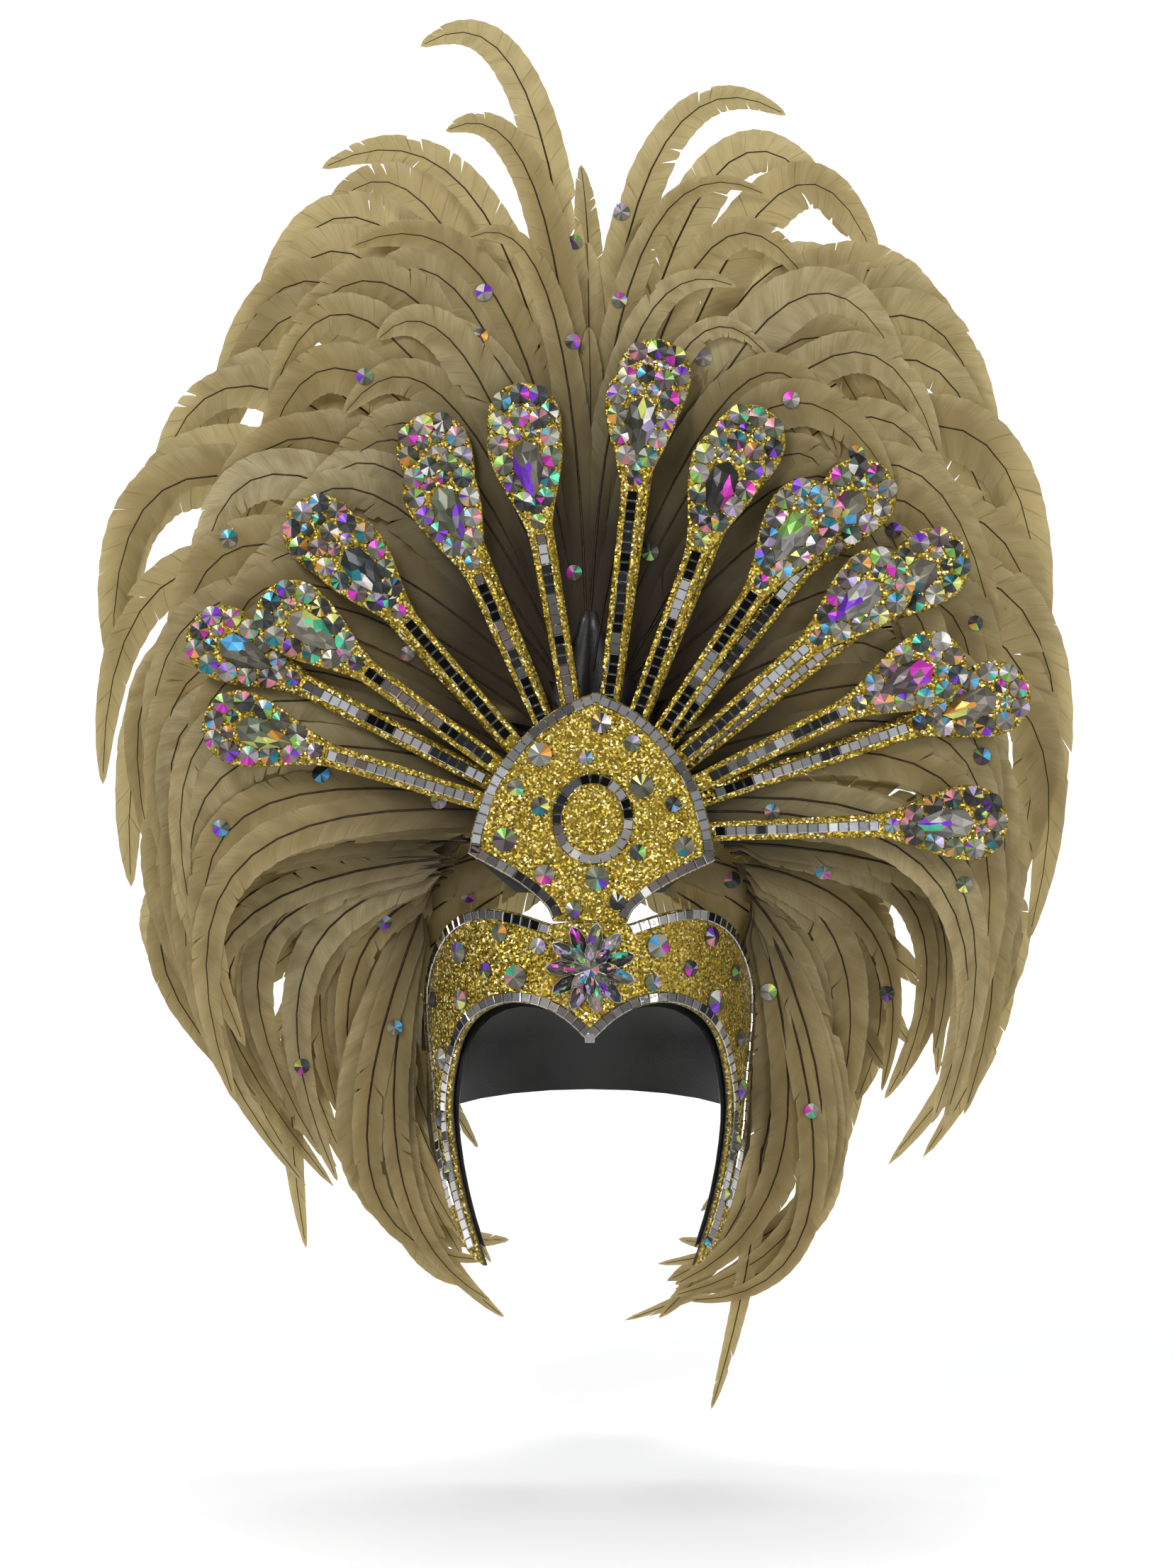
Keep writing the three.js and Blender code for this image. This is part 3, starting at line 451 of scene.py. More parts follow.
SKIN = np.array([-0.7, 0, 0, 0, 0, 0, 0, 0, 0, -0.7, -2.3, -3, -3, -3, -2.3])
SHARE = np.array([0, 0.02, 0.14, 0.28, 0.43, 0.57, 0.72, 0.86, 0.98, 1, 1, 0.98, 0.5, 0.02, 0])
RIM = np.array([0.6, 0, 0, 0, 0, 0, 0, 0, 0, 0.6, 1, 1, 1, 1, 1])


def band_edges(count):
    """The band's outer and inner edges from one cheek over the brow to the other, evenly spaced."""
    top = np.vstack([[(0, 15.5), (14, 15)], spline(BAND_OUTER, 60)])
    outer = even(top, count)
    inner = spline(BAND_INNER[::-1], count)
    flip = np.array([-1, 1])
    return np.vstack([outer[:0:-1] * flip, outer]), np.vstack([inner[:0:-1] * flip, inner])


def headband():
    """A closed ring of skin points, front and back, carried from cheek to cheek between the two edges."""
    outer, inner = band_edges(90)
    flat = inner[:, None] + SHARE[None, :, None] * (outer - inner)[:, None]
    points, _ = on_band(flat, SKIN[None])
    rows, cols = points.shape[:2]
    rim = np.broadcast_to(RIM, (rows, cols))
    return points.reshape(-1, 3), grid_faces(rows, cols, wrap=True), rim.ravel()


def crest_outline(count):
    """The crest's edge from the right of its neck round the point to the left of its neck."""
    half = np.vstack([spline(CREST_LOW, 40), spline(CREST_HIGH, 60)[1:]])
    whole = np.vstack([half, half[-2::-1] * np.array([-1, 1])])
    return rolled(even(whole, count))


def crest():
    """Rings from the medallion's oval out to the edge, over the rim and back behind, as one closed grid."""
    edge = crest_outline(170)
    low = np.linspace(edge[-1], edge[0], 14)[1:-1]
    loop = np.vstack([edge, low])
    away = loop - MEDALLION
    turn = np.arctan2(away[:, 1] / MEDALLION_HALF[1], away[:, 0] / MEDALLION_HALF[0])
    oval = MEDALLION + 0.86 * MEDALLION_HALF * np.stack([np.cos(turn), np.sin(turn)], 1)
    share = np.array([0, 0.3, 0.6, 0.85, 1])
    well = MEDALLION + share[:, None, None] * (oval - MEDALLION)[None]
    out = np.array([0.03, 0.2, 0.4, 0.6, 0.8, 0.93, 0.985, 1, 1, 0.985, 0.5, 0.02])
    plain = oval[None] + out[:, None, None] * (loop - oval)[None]
    flat = np.concatenate([well, plain, MEDALLION + np.zeros((1,) + loop.shape)])
    lift = np.concatenate([np.full(5, -1.2), np.zeros(7), [-0.7, -2.3, -3, -3, -3, -3]])
    rim = np.concatenate([np.zeros(11), [0, 0.6, 1, 1, 1, 1, 1]])
    points, _ = on_crest(flat, lift[:, None])
    rows, cols = points.shape[:2]
    return points.reshape(-1, 3), grid_faces(rows, cols, wrap=True)[:, ::-1], np.repeat(rim, cols)


band_points, band_faces, band_rim = headband()
crest_points, crest_faces, crest_rim = crest()
piece("headpiece_sheet", np.vstack([band_points, crest_points]),
      np.vstack([band_faces, crest_faces + len(band_points)]), [GLITTER],
      ["headpiece_front"], values={"rim": np.concatenate([band_rim, crest_rim])})


# Mirror tiles

TILE_PITCH = 5.55
TILE_HALF = 2.65
# Painted reflections in the mirror tiles, and the odds of each on the trims, on dark rows and on pale rows
TILE_REFLECTIONS = np.array([(0.9, 0.9, 0.9), (0.5, 0.49, 0.47), (0.22, 0.21, 0.2), (0.05, 0.05, 0.05),
                       (0.012, 0.012, 0.012), (0.33, 0.26, 0.24), (0.68, 0.63, 0.58)])
TRIM_REFLECTION_ODDS = np.array([0.17, 0.27, 0.2, 0.09, 0.06, 0.12, 0.09])
DARK_REFLECTION_ODDS = np.array([0.03, 0.05, 0.1, 0.3, 0.42, 0.07, 0.03])
PALE_REFLECTION_ODDS = np.array([0.4, 0.22, 0.08, 0.05, 0.05, 0.1, 0.1])


def tiles(centre, normal, along, odds=TRIM_REFLECTION_ODDS, half=TILE_HALF, height=1.2):
    """A bevelled square on each centre: a base, a wall and a smaller top ring, each tilted a little."""
    count = len(centre)
    tilt = chance.normal(0, 0.035, (count, 2))
    side = unit(np.cross(normal, along))
    along = unit(along + normal * tilt[:, :1])
    side = unit(side + normal * tilt[:, 1:])
    normal = unit(np.cross(along, side))
    corner = np.array([(-1, -1), (1, -1), (1, 1), (-1, 1)], float)
    size = np.array([1, 1, 0.84]) * half
    rise = np.array([0, 0.62, 1]) * height
    local = (size[:, None, None] * corner)[None]
    points = (centre[:, None, None] + along[:, None, None] * local[..., :1]
              + side[:, None, None] * local[..., 1:] + normal[:, None, None] * rise[None, :, None, None])
    points = points.reshape(-1, 3)
    walls = grid_faces(3, 4, wrap=True, copies=count)
    tops = np.arange(count)[:, None] * 12 + np.array([8, 9, 10, 11])
    # Each tile's colour is a painted reflection, held in runs along the row
    pick = chance.choice(len(TILE_REFLECTIONS), count, p=odds)
    fresh = chance.random(count) < 0.3
    fresh[0] = True
    pick = pick[np.maximum.accumulate(np.where(fresh, np.arange(count), 0))]
    tone = TILE_REFLECTIONS[pick] * chance.uniform(0.8, 1.15, (count, 1))
    # The bevel walls get a paler mix of the tile colour as a painted highlight
    painted_bevel_highlight = np.repeat(0.3 * tone + 0.35, 8, axis=0)
    return points, np.vstack([walls, tops]), np.clip(np.vstack([painted_bevel_highlight, tone]), 0, 1)


def tile_row(flat, surface, odds=TRIM_REFLECTION_ODDS):
    """Tiles at an even pitch along a front view line laid on a surface."""
    fine = even(flat, 900)
    path, _ = surface(fine, 0.0)
    run = np.concatenate([[0], np.cumsum(np.linalg.norm(np.diff(path, axis=0), axis=1))])
    count = int(run[-1] / TILE_PITCH)
    at = (np.arange(count) + 0.5) * run[-1] / count
    line = np.stack([np.interp(at, run, fine[:, k]) for k in range(2)], 1)
    ahead = np.stack([np.interp(at + 0.5, run, fine[:, k]) for k in range(2)], 1)
    behind = np.stack([np.interp(at - 0.5, run, fine[:, k]) for k in range(2)], 1)
    centre, normal = surface(line, 0.1)
    along = unit(surface(ahead, 0.1)[0] - surface(behind, 0.1)[0])
    return tiles(centre, np.array(normal), along, odds)


def tile_piece(name, rows, nodes):
    points, faces, tones, base = [], [], [], 0
    for p, f, t in rows:
        points.append(p)
        faces.append(f + base)
        tones.append(t)
        base += len(p)
    piece(name, np.vstack(points), np.vstack(faces), [TILE], nodes, smooth=False,
          colours=np.vstack(tones))


MIRROR_X = np.array([-1, 1])
outer_edge = spline(BAND_OUTER, 200)
outer_edge = outer_edge[outer_edge[:, 1] > -146]
side_line = inset(outer_edge, 3.2)
face_edge = spline(BAND_INNER, 160)[8:]
face_line = inset(np.vstack([face_edge, face_edge[-2::-1] * MIRROR_X]), 3.2)
crest_line = inset(crest_outline(400)[2:-2], -3.2)
ring_turn = np.linspace(0, 2 * math.pi, 200)
ring_line = MEDALLION + (MEDALLION_HALF - 2.7) * np.stack([np.cos(ring_turn), np.sin(ring_turn)], 1)
tile_piece("tiles_right", [tile_row(side_line, on_band)], ["headband_trim_right"])
tile_piece("tiles_left", [tile_row(side_line * MIRROR_X, on_band)], ["headband_trim_left"])
tile_piece("tiles_face", [tile_row(face_line, on_band)], ["headband_trim_face"])
tile_piece("tiles_crest", [tile_row(crest_line, on_crest)], ["crest_trim"])
# The medallion ring takes darker painted reflections
ring_reflection_odds = 0.6 * DARK_REFLECTION_ODDS + 0.4 * TRIM_REFLECTION_ODDS
tile_piece("tiles_medallion", [tile_row(ring_line, on_crest, ring_reflection_odds)], ["medallion_ring"])


# Cut stones

# A stone is smoky glass whose facets differ in painted reflection, with one or two groups of facets of bright
# painted reflection
SMOKE = np.array([
    (0.16, 0.15, 0.11), (0.09, 0.085, 0.06), (0.24, 0.22, 0.17), (0.035, 0.033, 0.028), (0.12, 0.09, 0.09),
    (0.3, 0.29, 0.25), (0.05, 0.06, 0.055), (0.14, 0.16, 0.1)])
PAINTED_GLINTS = np.array([
    (0.8, 0.85, 0.2), (0.12, 0.75, 0.42), (0.75, 0.05, 0.55), (0.24, 0.05, 0.7), (0.02, 0.23, 0.27),
    (0.8, 0.36, 0.06), (0.78, 0.28, 0.32), (0.1, 0.45, 0.78), (0.92, 0.9, 0.82), (0.3, 0.6, 0.12),
    (0.55, 0.45, 0.72)])
SMOKE_DEPTH = 0.6
# Half width as a share of the turn, and odds, of the wedges of bright painted reflections in a stone
GLINT_WEDGES = ((0.12, 1.0), (0.08, 0.6), (0.05, 0.4))


def facet_smoke_and_glints(count, belts, sides):
    """Colours of count stones: a smoky base with painted reflection that varies from facet to facet, then
    wedges of facets of bright painted reflection that run through every belt, and a table of either kind."""
    turn = (np.arange(sides) + 0.5) / sides
    base = SMOKE_DEPTH * SMOKE[chance.integers(len(SMOKE), size=count)]
    tone = base[:, None] * chance.uniform(0.45, 1.7, (count, (2 * belts) * sides, 1))
    for width, odds in GLINT_WEDGES:
        glint = PAINTED_GLINTS[chance.integers(len(PAINTED_GLINTS), size=count)]
        middle = chance.random(count)
        gap = np.abs((turn[None] - middle[:, None] + 0.5) % 1 - 0.5)
        lit = (gap < width) & (chance.random(count) < odds)[:, None]
        lit = np.tile(lit, (1, 2 * belts)) & (chance.random((count, 2 * belts * sides)) < 0.85)
        bright = glint[:, None] * chance.uniform(0.35, 0.8, (count, 2 * belts * sides, 1))
        tone = np.where(lit[..., None], bright, tone)
    return tone


def round_outline(turn):
    a = 2 * math.pi * turn
    return np.stack([np.cos(a), np.sin(a)], 1)


def drop_outline(turn):
    """A drop: round at the top and drawn to a point at the bottom."""
    a = 2 * math.pi * turn
    return np.stack([np.sin(a) * np.abs(np.sin(a / 2)) ** 0.7 * 1.12, -np.cos(a)], 1)


def leaf_outline(turn):
    """A pointed oval: a circle pinched at both ends."""
    a = 2 * math.pi * turn
    return np.stack([np.sign(np.sin(a)) * np.abs(np.sin(a)) ** 1.35, np.cos(a)], 1)


# Outline, sides, share of the outline and rise of each ring; a ring after "zig" stands half a step on
ROUND_CUT = (round_outline, 14, (1, 1, 0.07), (0, 0.2, 0.5), ("wall", "wall"))
DROP_CUT = (drop_outline, 8, (1, 1, 0.62, 0.2), (0, 0.14, 0.42, 0.6), ("wall", "zig", "zag"))
LEAF_CUT = (leaf_outline, 8, (1, 1, 0.6, 0.25), (0, 0.2, 0.6, 0.8), ("wall", "zig", "zag"))
LEAF_CUP = (leaf_outline, 8, (0.8, 1, 1, 0.9), (0, 0.42, 0.45, 0.42), ("wall", "wall", "wall"))
ROUND_CUP = (round_outline, 12, (2.2, 2.2, 0.9, 0.8), (0, 0.3, 1.3, 1.3), ("wall", "wall", "wall"))


def stone_faces(sides, belts):
    """Facets between the rings of a stone: quads, or triangles after a half step, and a table."""
    k = np.arange(sides)
    n = (k + 1) % sides
    faces = []
    for i, belt in enumerate(belts):
        a, b = i * sides, (i + 1) * sides
        if belt == "wall":
            faces += np.stack([a + k, a + n, b + n, b + k], 1).tolist()
        elif belt == "zig":
            faces += np.stack([a + k, a + n, b + k], 1).tolist() + np.stack([b + k, a + n, b + n], 1).tolist()
        else:
            faces += np.stack([a + k, a + n, b + n], 1).tolist() + np.stack([b + k, a + k, b + n], 1).tolist()
    return faces + [(len(belts) * sides + k).tolist()]


def stones(centre, normal, size, cut, spin=None, up=None):
    """One stone per centre: rings of the outline, scaled and lifted along the normal, some half a step on."""
    outline, sides, rings, rise, belts = cut
    count = len(centre)
    spin = np.zeros(count) if spin is None else spin
    up = np.tile([0.0, 0.0, 1.0], (count, 1)) if up is None else up
    side = unit(np.cross(up, normal))
    up = unit(np.cross(normal, side))
    turn = np.arange(sides) / sides
    half_step = np.array([0] + [0.5 / sides if belt == "zig" else 0 for belt in belts])
    local = np.concatenate([
        np.concatenate([outline(turn + on) * share, np.full((sides, 1), height)], 1)
        for share, height, on in zip(rings, rise, half_step)])
    c, s = np.cos(spin)[:, None], np.sin(spin)[:, None]
    half = size[:, None, :] / 2
    x = local[None, :, 0] * half[..., 0]
    z = local[None, :, 1] * half[..., 1]
    x, z = x * c - z * s, x * s + z * c
    y = local[None, :, 2] * half.min(-1)
    points = centre[:, None] + side[:, None] * x[..., None] + up[:, None] * z[..., None]
    points = points + normal[:, None] * y[..., None]
    faces = stone_faces(sides, belts)
    per = len(local)
    every = [[v + i * per for v in face] for i in range(count) for face in faces]
    tone = facet_smoke_and_glints(count, len(belts), sides)[:, :len(faces) - 1]
    tone = np.concatenate([tone, tone[:, -1:]], 1)
    tone[:, :sides] = 0.3 * tone[:, :sides] + 0.04
    return points.reshape(-1, 3), every, np.clip(tone.reshape(-1, 3), 0, 1)


def stone_piece(name, groups, nodes):
    points, faces, tones, base = [], [], [], 0
    for p, f, t in groups:
        points.append(p)
        faces += [[v + base for v in face] for face in f]
        tones.append(t)
        base += len(p)
    piece(name, np.vstack(points), faces, [CRYSTAL], nodes, smooth=False, colours=np.vstack(tones))


def round_stones(centre, normal, diameter):
    size = np.stack([diameter, diameter], 1)
    return stones(centre, normal, size, ROUND_CUT, chance.uniform(0, 6.28, len(centre)))


crest_at, crest_out = on_crest(CREST_STONES[:, :2], 0.1)
band_at, band_out = on_band(BAND_STONES[:, :2], 0.1)
stone_piece("stones_front", [
    round_stones(crest_at, np.array(crest_out), CREST_STONES[:, 2]),
    round_stones(band_at, band_out, BAND_STONES[:, 2])], [])


# Brooch

# Number of stones, radius, size, rise, tilt and turn of each ring
BROOCH_RINGS = ((11, 16.1, (7.6, 16.4), 1.6, 0.0, 0.5), (8, 9.2, (5.8, 10.8), 5.0, 0.35, 0.0))


def brooch():
    """Two rings of leaf stones round a centre stone, each on a metal cup, set on the brow."""
    eye = np.array([0.5, CREST_FRONT - GAP, -9.5])
    groups = []
    cups = []
    for count, radius, size, rise, tilt, phase in BROOCH_RINGS:
        a = 2 * math.pi * (np.arange(count) + phase) / count
        out = np.stack([np.cos(a), 0 * a, np.sin(a)], 1)
        centre = eye + out * radius + FRONT * rise
        normal = unit(FRONT + out * tilt)
        sizes = np.tile(size, (count, 1)).astype(float)
        groups.append(stones(centre, normal, sizes, LEAF_CUT, up=out))
        cups.append(stones(centre - normal * 1.5, normal, sizes * 1.1, LEAF_CUP, up=out))
    groups.append(round_stones(eye[None] + FRONT * 6.4, FRONT[None], np.array([9.0])))
    cups.append(stones(eye[None] + FRONT * 0.2, FRONT[None], np.array([[9.6, 9.6]]), ROUND_CUP))
    return groups, cups


brooch_stones, brooch_cups = brooch()
stone_piece("brooch_stones", brooch_stones, ["flower_brooch"])
cup_points, cup_faces, cup_base = [], [], 0
for p, f, _ in brooch_cups:
    cup_points.append(p)
    cup_faces += [[v + cup_base for v in face] for face in f]
    cup_base += len(p)
piece("brooch_setting", np.vstack(cup_points), cup_faces, [SILVER], [], smooth=False)


# Paddles

HEAD_LENGTH = 76.0
HEAD_HALF = 20.5
ROD_HALF = 6.2
ROOT_HALF = 5.0
PEAR_FROM_TIP = 34.0


def paddle_half_width(u, length):
    """Half width along a paddle: a straight rod, a smooth swell into the head and a round end."""
    rod = length - HEAD_LENGTH
    wide = length - HEAD_HALF
    swell = np.clip((u - rod) / (wide - rod), 0, 1)
    straight = ROOT_HALF + (ROD_HALF - ROOT_HALF) * np.clip(u / rod, 0, 1)
    body = straight + (HEAD_HALF - straight) * swell**2 * (3 - 2 * swell)
    end = np.sqrt(np.maximum(HEAD_HALF**2 - np.maximum(u - wide, 0) ** 2, 0))
    return np.where(u > wide, end, body)


def place_on_fan(u, v, y, degrees):
    """Points given along, across and in depth of a paddle, turned into its direction on the fan."""
    a = math.radians(degrees)
    x = FAN[0] + u * math.cos(a) - v * math.sin(a)
    z = FAN[1] + u * math.sin(a) + v * math.cos(a)
    return np.stack([x, np.broadcast_to(y, x.shape), z], -1)


def fan_direction(degrees):
    """Direction of a paddle on the fan."""
    a = math.radians(degrees)
    return np.array([[math.cos(a), 0.0, math.sin(a)]])


def paddle_board(degrees, reach, front_y):
    """A closed ring of skin points carried along the paddle, as wide as the paddle is there."""
    length = reach - FAN_ROOT
    turn = np.linspace(0, math.pi / 2, 12)
    neck, wide = length - HEAD_LENGTH, length - HEAD_HALF
    u = np.concatenate([np.linspace(0, neck, 8), np.linspace(neck, wide, 14)[1:],
                        wide + HEAD_HALF * np.sin(turn)[1:]])
    half = np.maximum(paddle_half_width(u, length), 0.05)
    cross = np.array([-1, -0.97, -0.5, 0, 0.5, 0.97, 1, 1, 0.97, 0, -0.97, -1])
    depth = np.array([0.6, 0, 0, 0, 0, 0, 0.6, 2.4, 3, 3, 3, 2.4])
    rim = np.array([0.5, 0, 0, 0, 0, 0, 0.5, 1, 1, 1, 1, 1])
    v = half[:, None] * cross
    points = place_on_fan(FAN_ROOT + u[:, None] + 0 * v, v, front_y + depth[None] + 0 * v, degrees)
    return points, np.broadcast_to(rim, v.shape)


def rod_tiles(degrees, reach, front_y):
    """One row of tiles from the crest's edge to the head."""
    end = reach - HEAD_LENGTH + 6
    start = 66.0
    count = int((end - start) / TILE_PITCH)
    u = end - (np.arange(count) + 0.5) * TILE_PITCH
    centre = place_on_fan(u, 0 * u, front_y - 0.05, degrees)
    along = np.tile(fan_direction(degrees), (count, 1))
    # Painted reflections: darker on upright rods, paler on sideways ones
    upright = abs(math.sin(math.radians(degrees))) ** 2
    odds = DARK_REFLECTION_ODDS * upright + PALE_REFLECTION_ODDS * (1 - upright)
    return tiles(centre, np.tile(FRONT, (count, 1)), along, odds)


def head_stones(degrees, reach, front_y):
    """Round stones side by side along the head's edge, two above the drop and two below its point."""
    length = reach - FAN_ROOT
    u = np.linspace(length - 66, length - 6.0, 400)
    half = paddle_half_width(u, length)
    line = np.stack([u, np.maximum(half - 6.3, 0)], 1)
    line = line[half > 10.5]
    tip = np.stack([length - 6.0 + 0 * np.linspace(0, 1, 8), np.linspace(line[-1, 1], 0, 8)], 1)
    line = np.vstack([line, tip])[::-1]
    run = np.concatenate([[0], np.cumsum(np.linalg.norm(np.diff(line, axis=0), axis=1))])
    count = int(run[-1] / 11.2)
    at = np.arange(count + 1) * 11.2
    place = np.stack([np.interp(at, run, line[:, k]) for k in range(2)], 1)
    whole = np.vstack([place, place[1:] * np.array([1, -1])])
    size = chance.uniform(9.8, 11.2, len(whole))
    low = length - PEAR_FROM_TIP - 15.5 - np.array([5.0, 13.5])
    extra = np.array([(length - 14.6, 4.4), (length - 14.6, -4.4), (low[0], 0), (low[1], 0)])
    whole = np.vstack([whole, extra])
    size = np.concatenate([size, [7.0, 6.6, 8.8, 8.2]])
    centre = place_on_fan(FAN_ROOT + whole[:, 0], whole[:, 1], front_y - 0.05, degrees)
    return round_stones(centre, np.tile(FRONT, (len(whole), 1)), size)


def paddles(fan, rows, front_y):
    board_points, board_rim = [], []
    tile_groups, stone_groups, drops = [], [], []
    for i, (degrees, reach) in enumerate(rows):
        points, rim = paddle_board(degrees, reach, front_y)
        board_points.append(points)
        board_rim.append(rim)
        tile_groups.append(rod_tiles(degrees, reach, front_y))
        stone_groups.append(head_stones(degrees, reach, front_y))
        out = fan_direction(degrees)
        seat = place_on_fan(np.array([reach - PEAR_FROM_TIP]), np.zeros(1), front_y - 0.2, degrees)
        drops.append(stones(seat, FRONT[None], np.array([[18.5, 31.5]]), DROP_CUT, up=out))
    grid = np.stack(board_points)
    count, stations, cols = grid.shape[:3]
    names = [f"{i + 1:02d}" for i in range(count)]
    piece(f"paddle_boards_{fan}", grid.reshape(-1, 3), grid_faces(stations, cols, wrap=True, copies=count),
          [GLITTER], [f"paddle_{fan}_{n}" for n in names],
          values={"rim": np.stack(board_rim).ravel()})
    tile_piece(f"paddle_tiles_{fan}", tile_groups, [])
    stone_piece(f"paddle_stones_{fan}", stone_groups, [])
    stone_piece(f"paddle_drops_{fan}", drops, [f"pear_{fan}_{n}" for n in names])


paddles("front", FRONT_PADDLES, FRONT_PADDLE_Y)
paddles("back", BACK_PADDLES, BACK_PADDLE_Y)


# Feathers

TUFTS = 24
CURL_FROM = 0.4
SHAFT_STATIONS = 15


def flow_at(rows, share):
    """Root, belly and tip between the rows of a table."""
    f = np.clip(share, 0, 1) * (len(rows) - 1)
    i = np.minimum(f.astype(int), len(rows) - 2)
    t = (f - i)[:, None, None]
    return rows[i] * (1 - t) + rows[i + 1] * t


def vane_profile(w, blunt):
    """Half width along a feather: a quick swell from the root and an end that is drawn out or blunt."""
    w = np.clip(w, 0, 1)
    return np.minimum(1, 0.62 + 1.5 * w) * np.maximum(1 - w**blunt, 0.0) ** 0.55


def curve_at(ends, w):
    """Point and direction on the quadratic curve from root to tip, pulled by the belly.
    Past CURL_FROM the curve bends on by the fourth vector, with the square of the way left."""
    shape = (len(ends),) + (1,) * (w.ndim - 1) + (3,)
    a, b, c, curl = (ends[:, k].reshape(shape) for k in range(4))
    w = w[..., None]
    bend = np.clip((w - CURL_FROM) / (1 - CURL_FROM), 0, 1)
    point = a * (1 - w) ** 2 + b * 2 * w * (1 - w) + c * w**2 + curl * bend**2
    return point, unit(2 * (b - a) * (1 - w) + 2 * (c - b) * w + curl * 2 * bend / (1 - CURL_FROM))


def feather_frame(ends, w, roll):
    """Across and outward directions beside the shaft, rolled about it more and more towards the tip."""
    point, along = curve_at(ends, w)
    across = unit(np.cross(along, FRONT))
    out = unit(np.cross(across, along))
    turn = roll.reshape((-1,) + (1,) * (w.ndim - 1)) * np.clip(w, 0, 1) ** 1.4
    c, s = np.cos(turn)[..., None], np.sin(turn)[..., None]
    return point, across * c + out * s, out * c - across * s


def feathers(ends, half, roll, blunt, seed):
    """Each half vane is a row of barb tufts. A barb leaves the shaft at w and leans to the tip:
    its point at share t stands at curve(w + lean t), across by t times the half width at its end,
    and cupped back by the square of that. Shafts are tapered four-sided tubes."""
    luck = np.random.default_rng(seed)
    n = len(ends)
    length = np.linalg.norm(np.diff(ends[:, :3], axis=1), axis=-1).sum(1) * 0.93
    cut = np.linspace(0.02, 0.985, TUFTS + 1)
    step = cut[1] - cut[0]
    col = np.array([-0.02, 0.5, 1.02])
    root = cut[:-1, None] + step * col
    t = np.array([0, 0.28, 0.58, 0.84, 1.0])
    lean = (1.25 * half / length)[:, None, None, None, None]
    size = (n, 2, TUFTS)
    reach = 1 + luck.normal(0, 0.012, size)
    split = luck.random(size) < 0.045
    reach = np.where(split, reach * luck.uniform(0.72, 0.9, size), reach)
    pinch = np.where(luck.random(size) < 0.04, luck.uniform(0.2, 0.5, size), luck.uniform(0.0, 0.03, size))
    sway = luck.normal(0, 0.025, size)
    middle = root[:, 1].reshape(1, 1, TUFTS, 1, 1)
    w0 = middle + (root.reshape(1, 1, TUFTS, 1, 3) - middle) * (1 - pinch[..., None, None] * t[:, None] ** 2)
    w = w0 + lean * (1 + sway[..., None, None]) * (1 - 0.45 * w0) * t[:, None] ** 0.9
    w = np.minimum(w, 1.0)
    blunt = luck.uniform(*blunt, n)[:, None, None, None, None]
    edge = vane_profile(w0 + lean * (1 - 0.45 * w0), blunt)
    tip = 1 + np.array([-0.02, 0.02, -0.02]) * t[:, None] ** 3
    side = np.array([-1.0, 1.0]).reshape(1, 2, 1, 1, 1)
    share = reach[..., None, None] * edge * t[:, None] * tip
    point, across, out = feather_frame(ends, w, roll)
    wide = half[:, None, None, None, None] * share
    cup = 0.16 * wide * share
    ruffle = luck.normal(0, 0.1, size)[..., None, None] * t[:, None]
    points = point + across * (side * wide)[..., None] + out * (ruffle - cup)[..., None]
    uv_u = (w0 + 0 * w) * length[:, None, None, None, None] * 0.01
    uv_v = 0.5 + 0.5 * side * t[:, None] + 0 * w
    faces = grid_faces(5, 3, copies=n * 2 * TUFTS).reshape(n, 2, -1, 4)
    faces[:, 1] = faces[:, 1, :, ::-1]
    tint = luck.beta(2.2, 2.2, n)
    tint_all = np.broadcast_to(tint[:, None, None, None, None], w.shape)

    ws = np.broadcast_to(np.linspace(0, 0.985, SHAFT_STATIONS), (n, SHAFT_STATIONS))
    spine, sideways, outward = feather_frame(ends, ws, roll)
    thick = (0.75 - 0.58 * ws)[..., None, None]
    ring = np.array([(1, 0), (0, 1), (-1, 0), (0, -1)], float)
    round_shaft = ring[:, :1] * sideways[:, :, None] + (0.25 + ring[:, 1:]) * outward[:, :, None]
    tube = spine[:, :, None] + thick * round_shaft
    tube_faces = grid_faces(SHAFT_STATIONS, 4, wrap=True, copies=n) + points.size // 3
    all_points = np.vstack([points.reshape(-1, 3), tube.reshape(-1, 3)])
    all_uv = np.vstack([np.stack([uv_u, uv_v], -1).reshape(-1, 2), np.full((tube.size // 3, 2), 0.5)])
    all_tint = np.concatenate([tint_all.ravel(), np.zeros(tube.size // 3)])
    # Painted shade with a darker tone, stored as along: dark near the crown's middle, less so below z 85, and
    # dark at the root
    heart = np.linalg.norm((points[..., ::2] - [0, 150]) * [1, 0.9], axis=-1)
    light = np.clip((heart - 70) / 110, 0, 1)
    light = np.maximum(light, np.clip((85 - points[..., 2]) / 60, 0, 0.9)) * np.clip(0.3 + 3 * w, 0, 1)
    shade_and_tone = np.concatenate([light.ravel(), np.ones(tube.size // 3)])
    vane_faces = faces.reshape(-1, 4)
    which = np.concatenate([np.zeros(len(vane_faces)), np.ones(len(tube_faces))])
    values = {"tint": all_tint, "along": shade_and_tone}
    return all_points, np.vstack([vane_faces, tube_faces]), which, all_uv, values


def backing(edge_a, edge_b, y, thick):
    """A plain plate between two front view edges: a closed ring of skin points carried from end to end."""
    share = np.array([0, 0.5, 1, 1, 0.5, 0])
    depth = np.array([0, 0, 0, 1, 1, 1]) * thick
    flat = edge_a[:, None] + share[None, :, None] * (edge_b - edge_a)[:, None]
    points = np.stack([flat[..., 0], y + np.broadcast_to(depth, flat.shape[:2]), flat[..., 1]], -1)
    return points


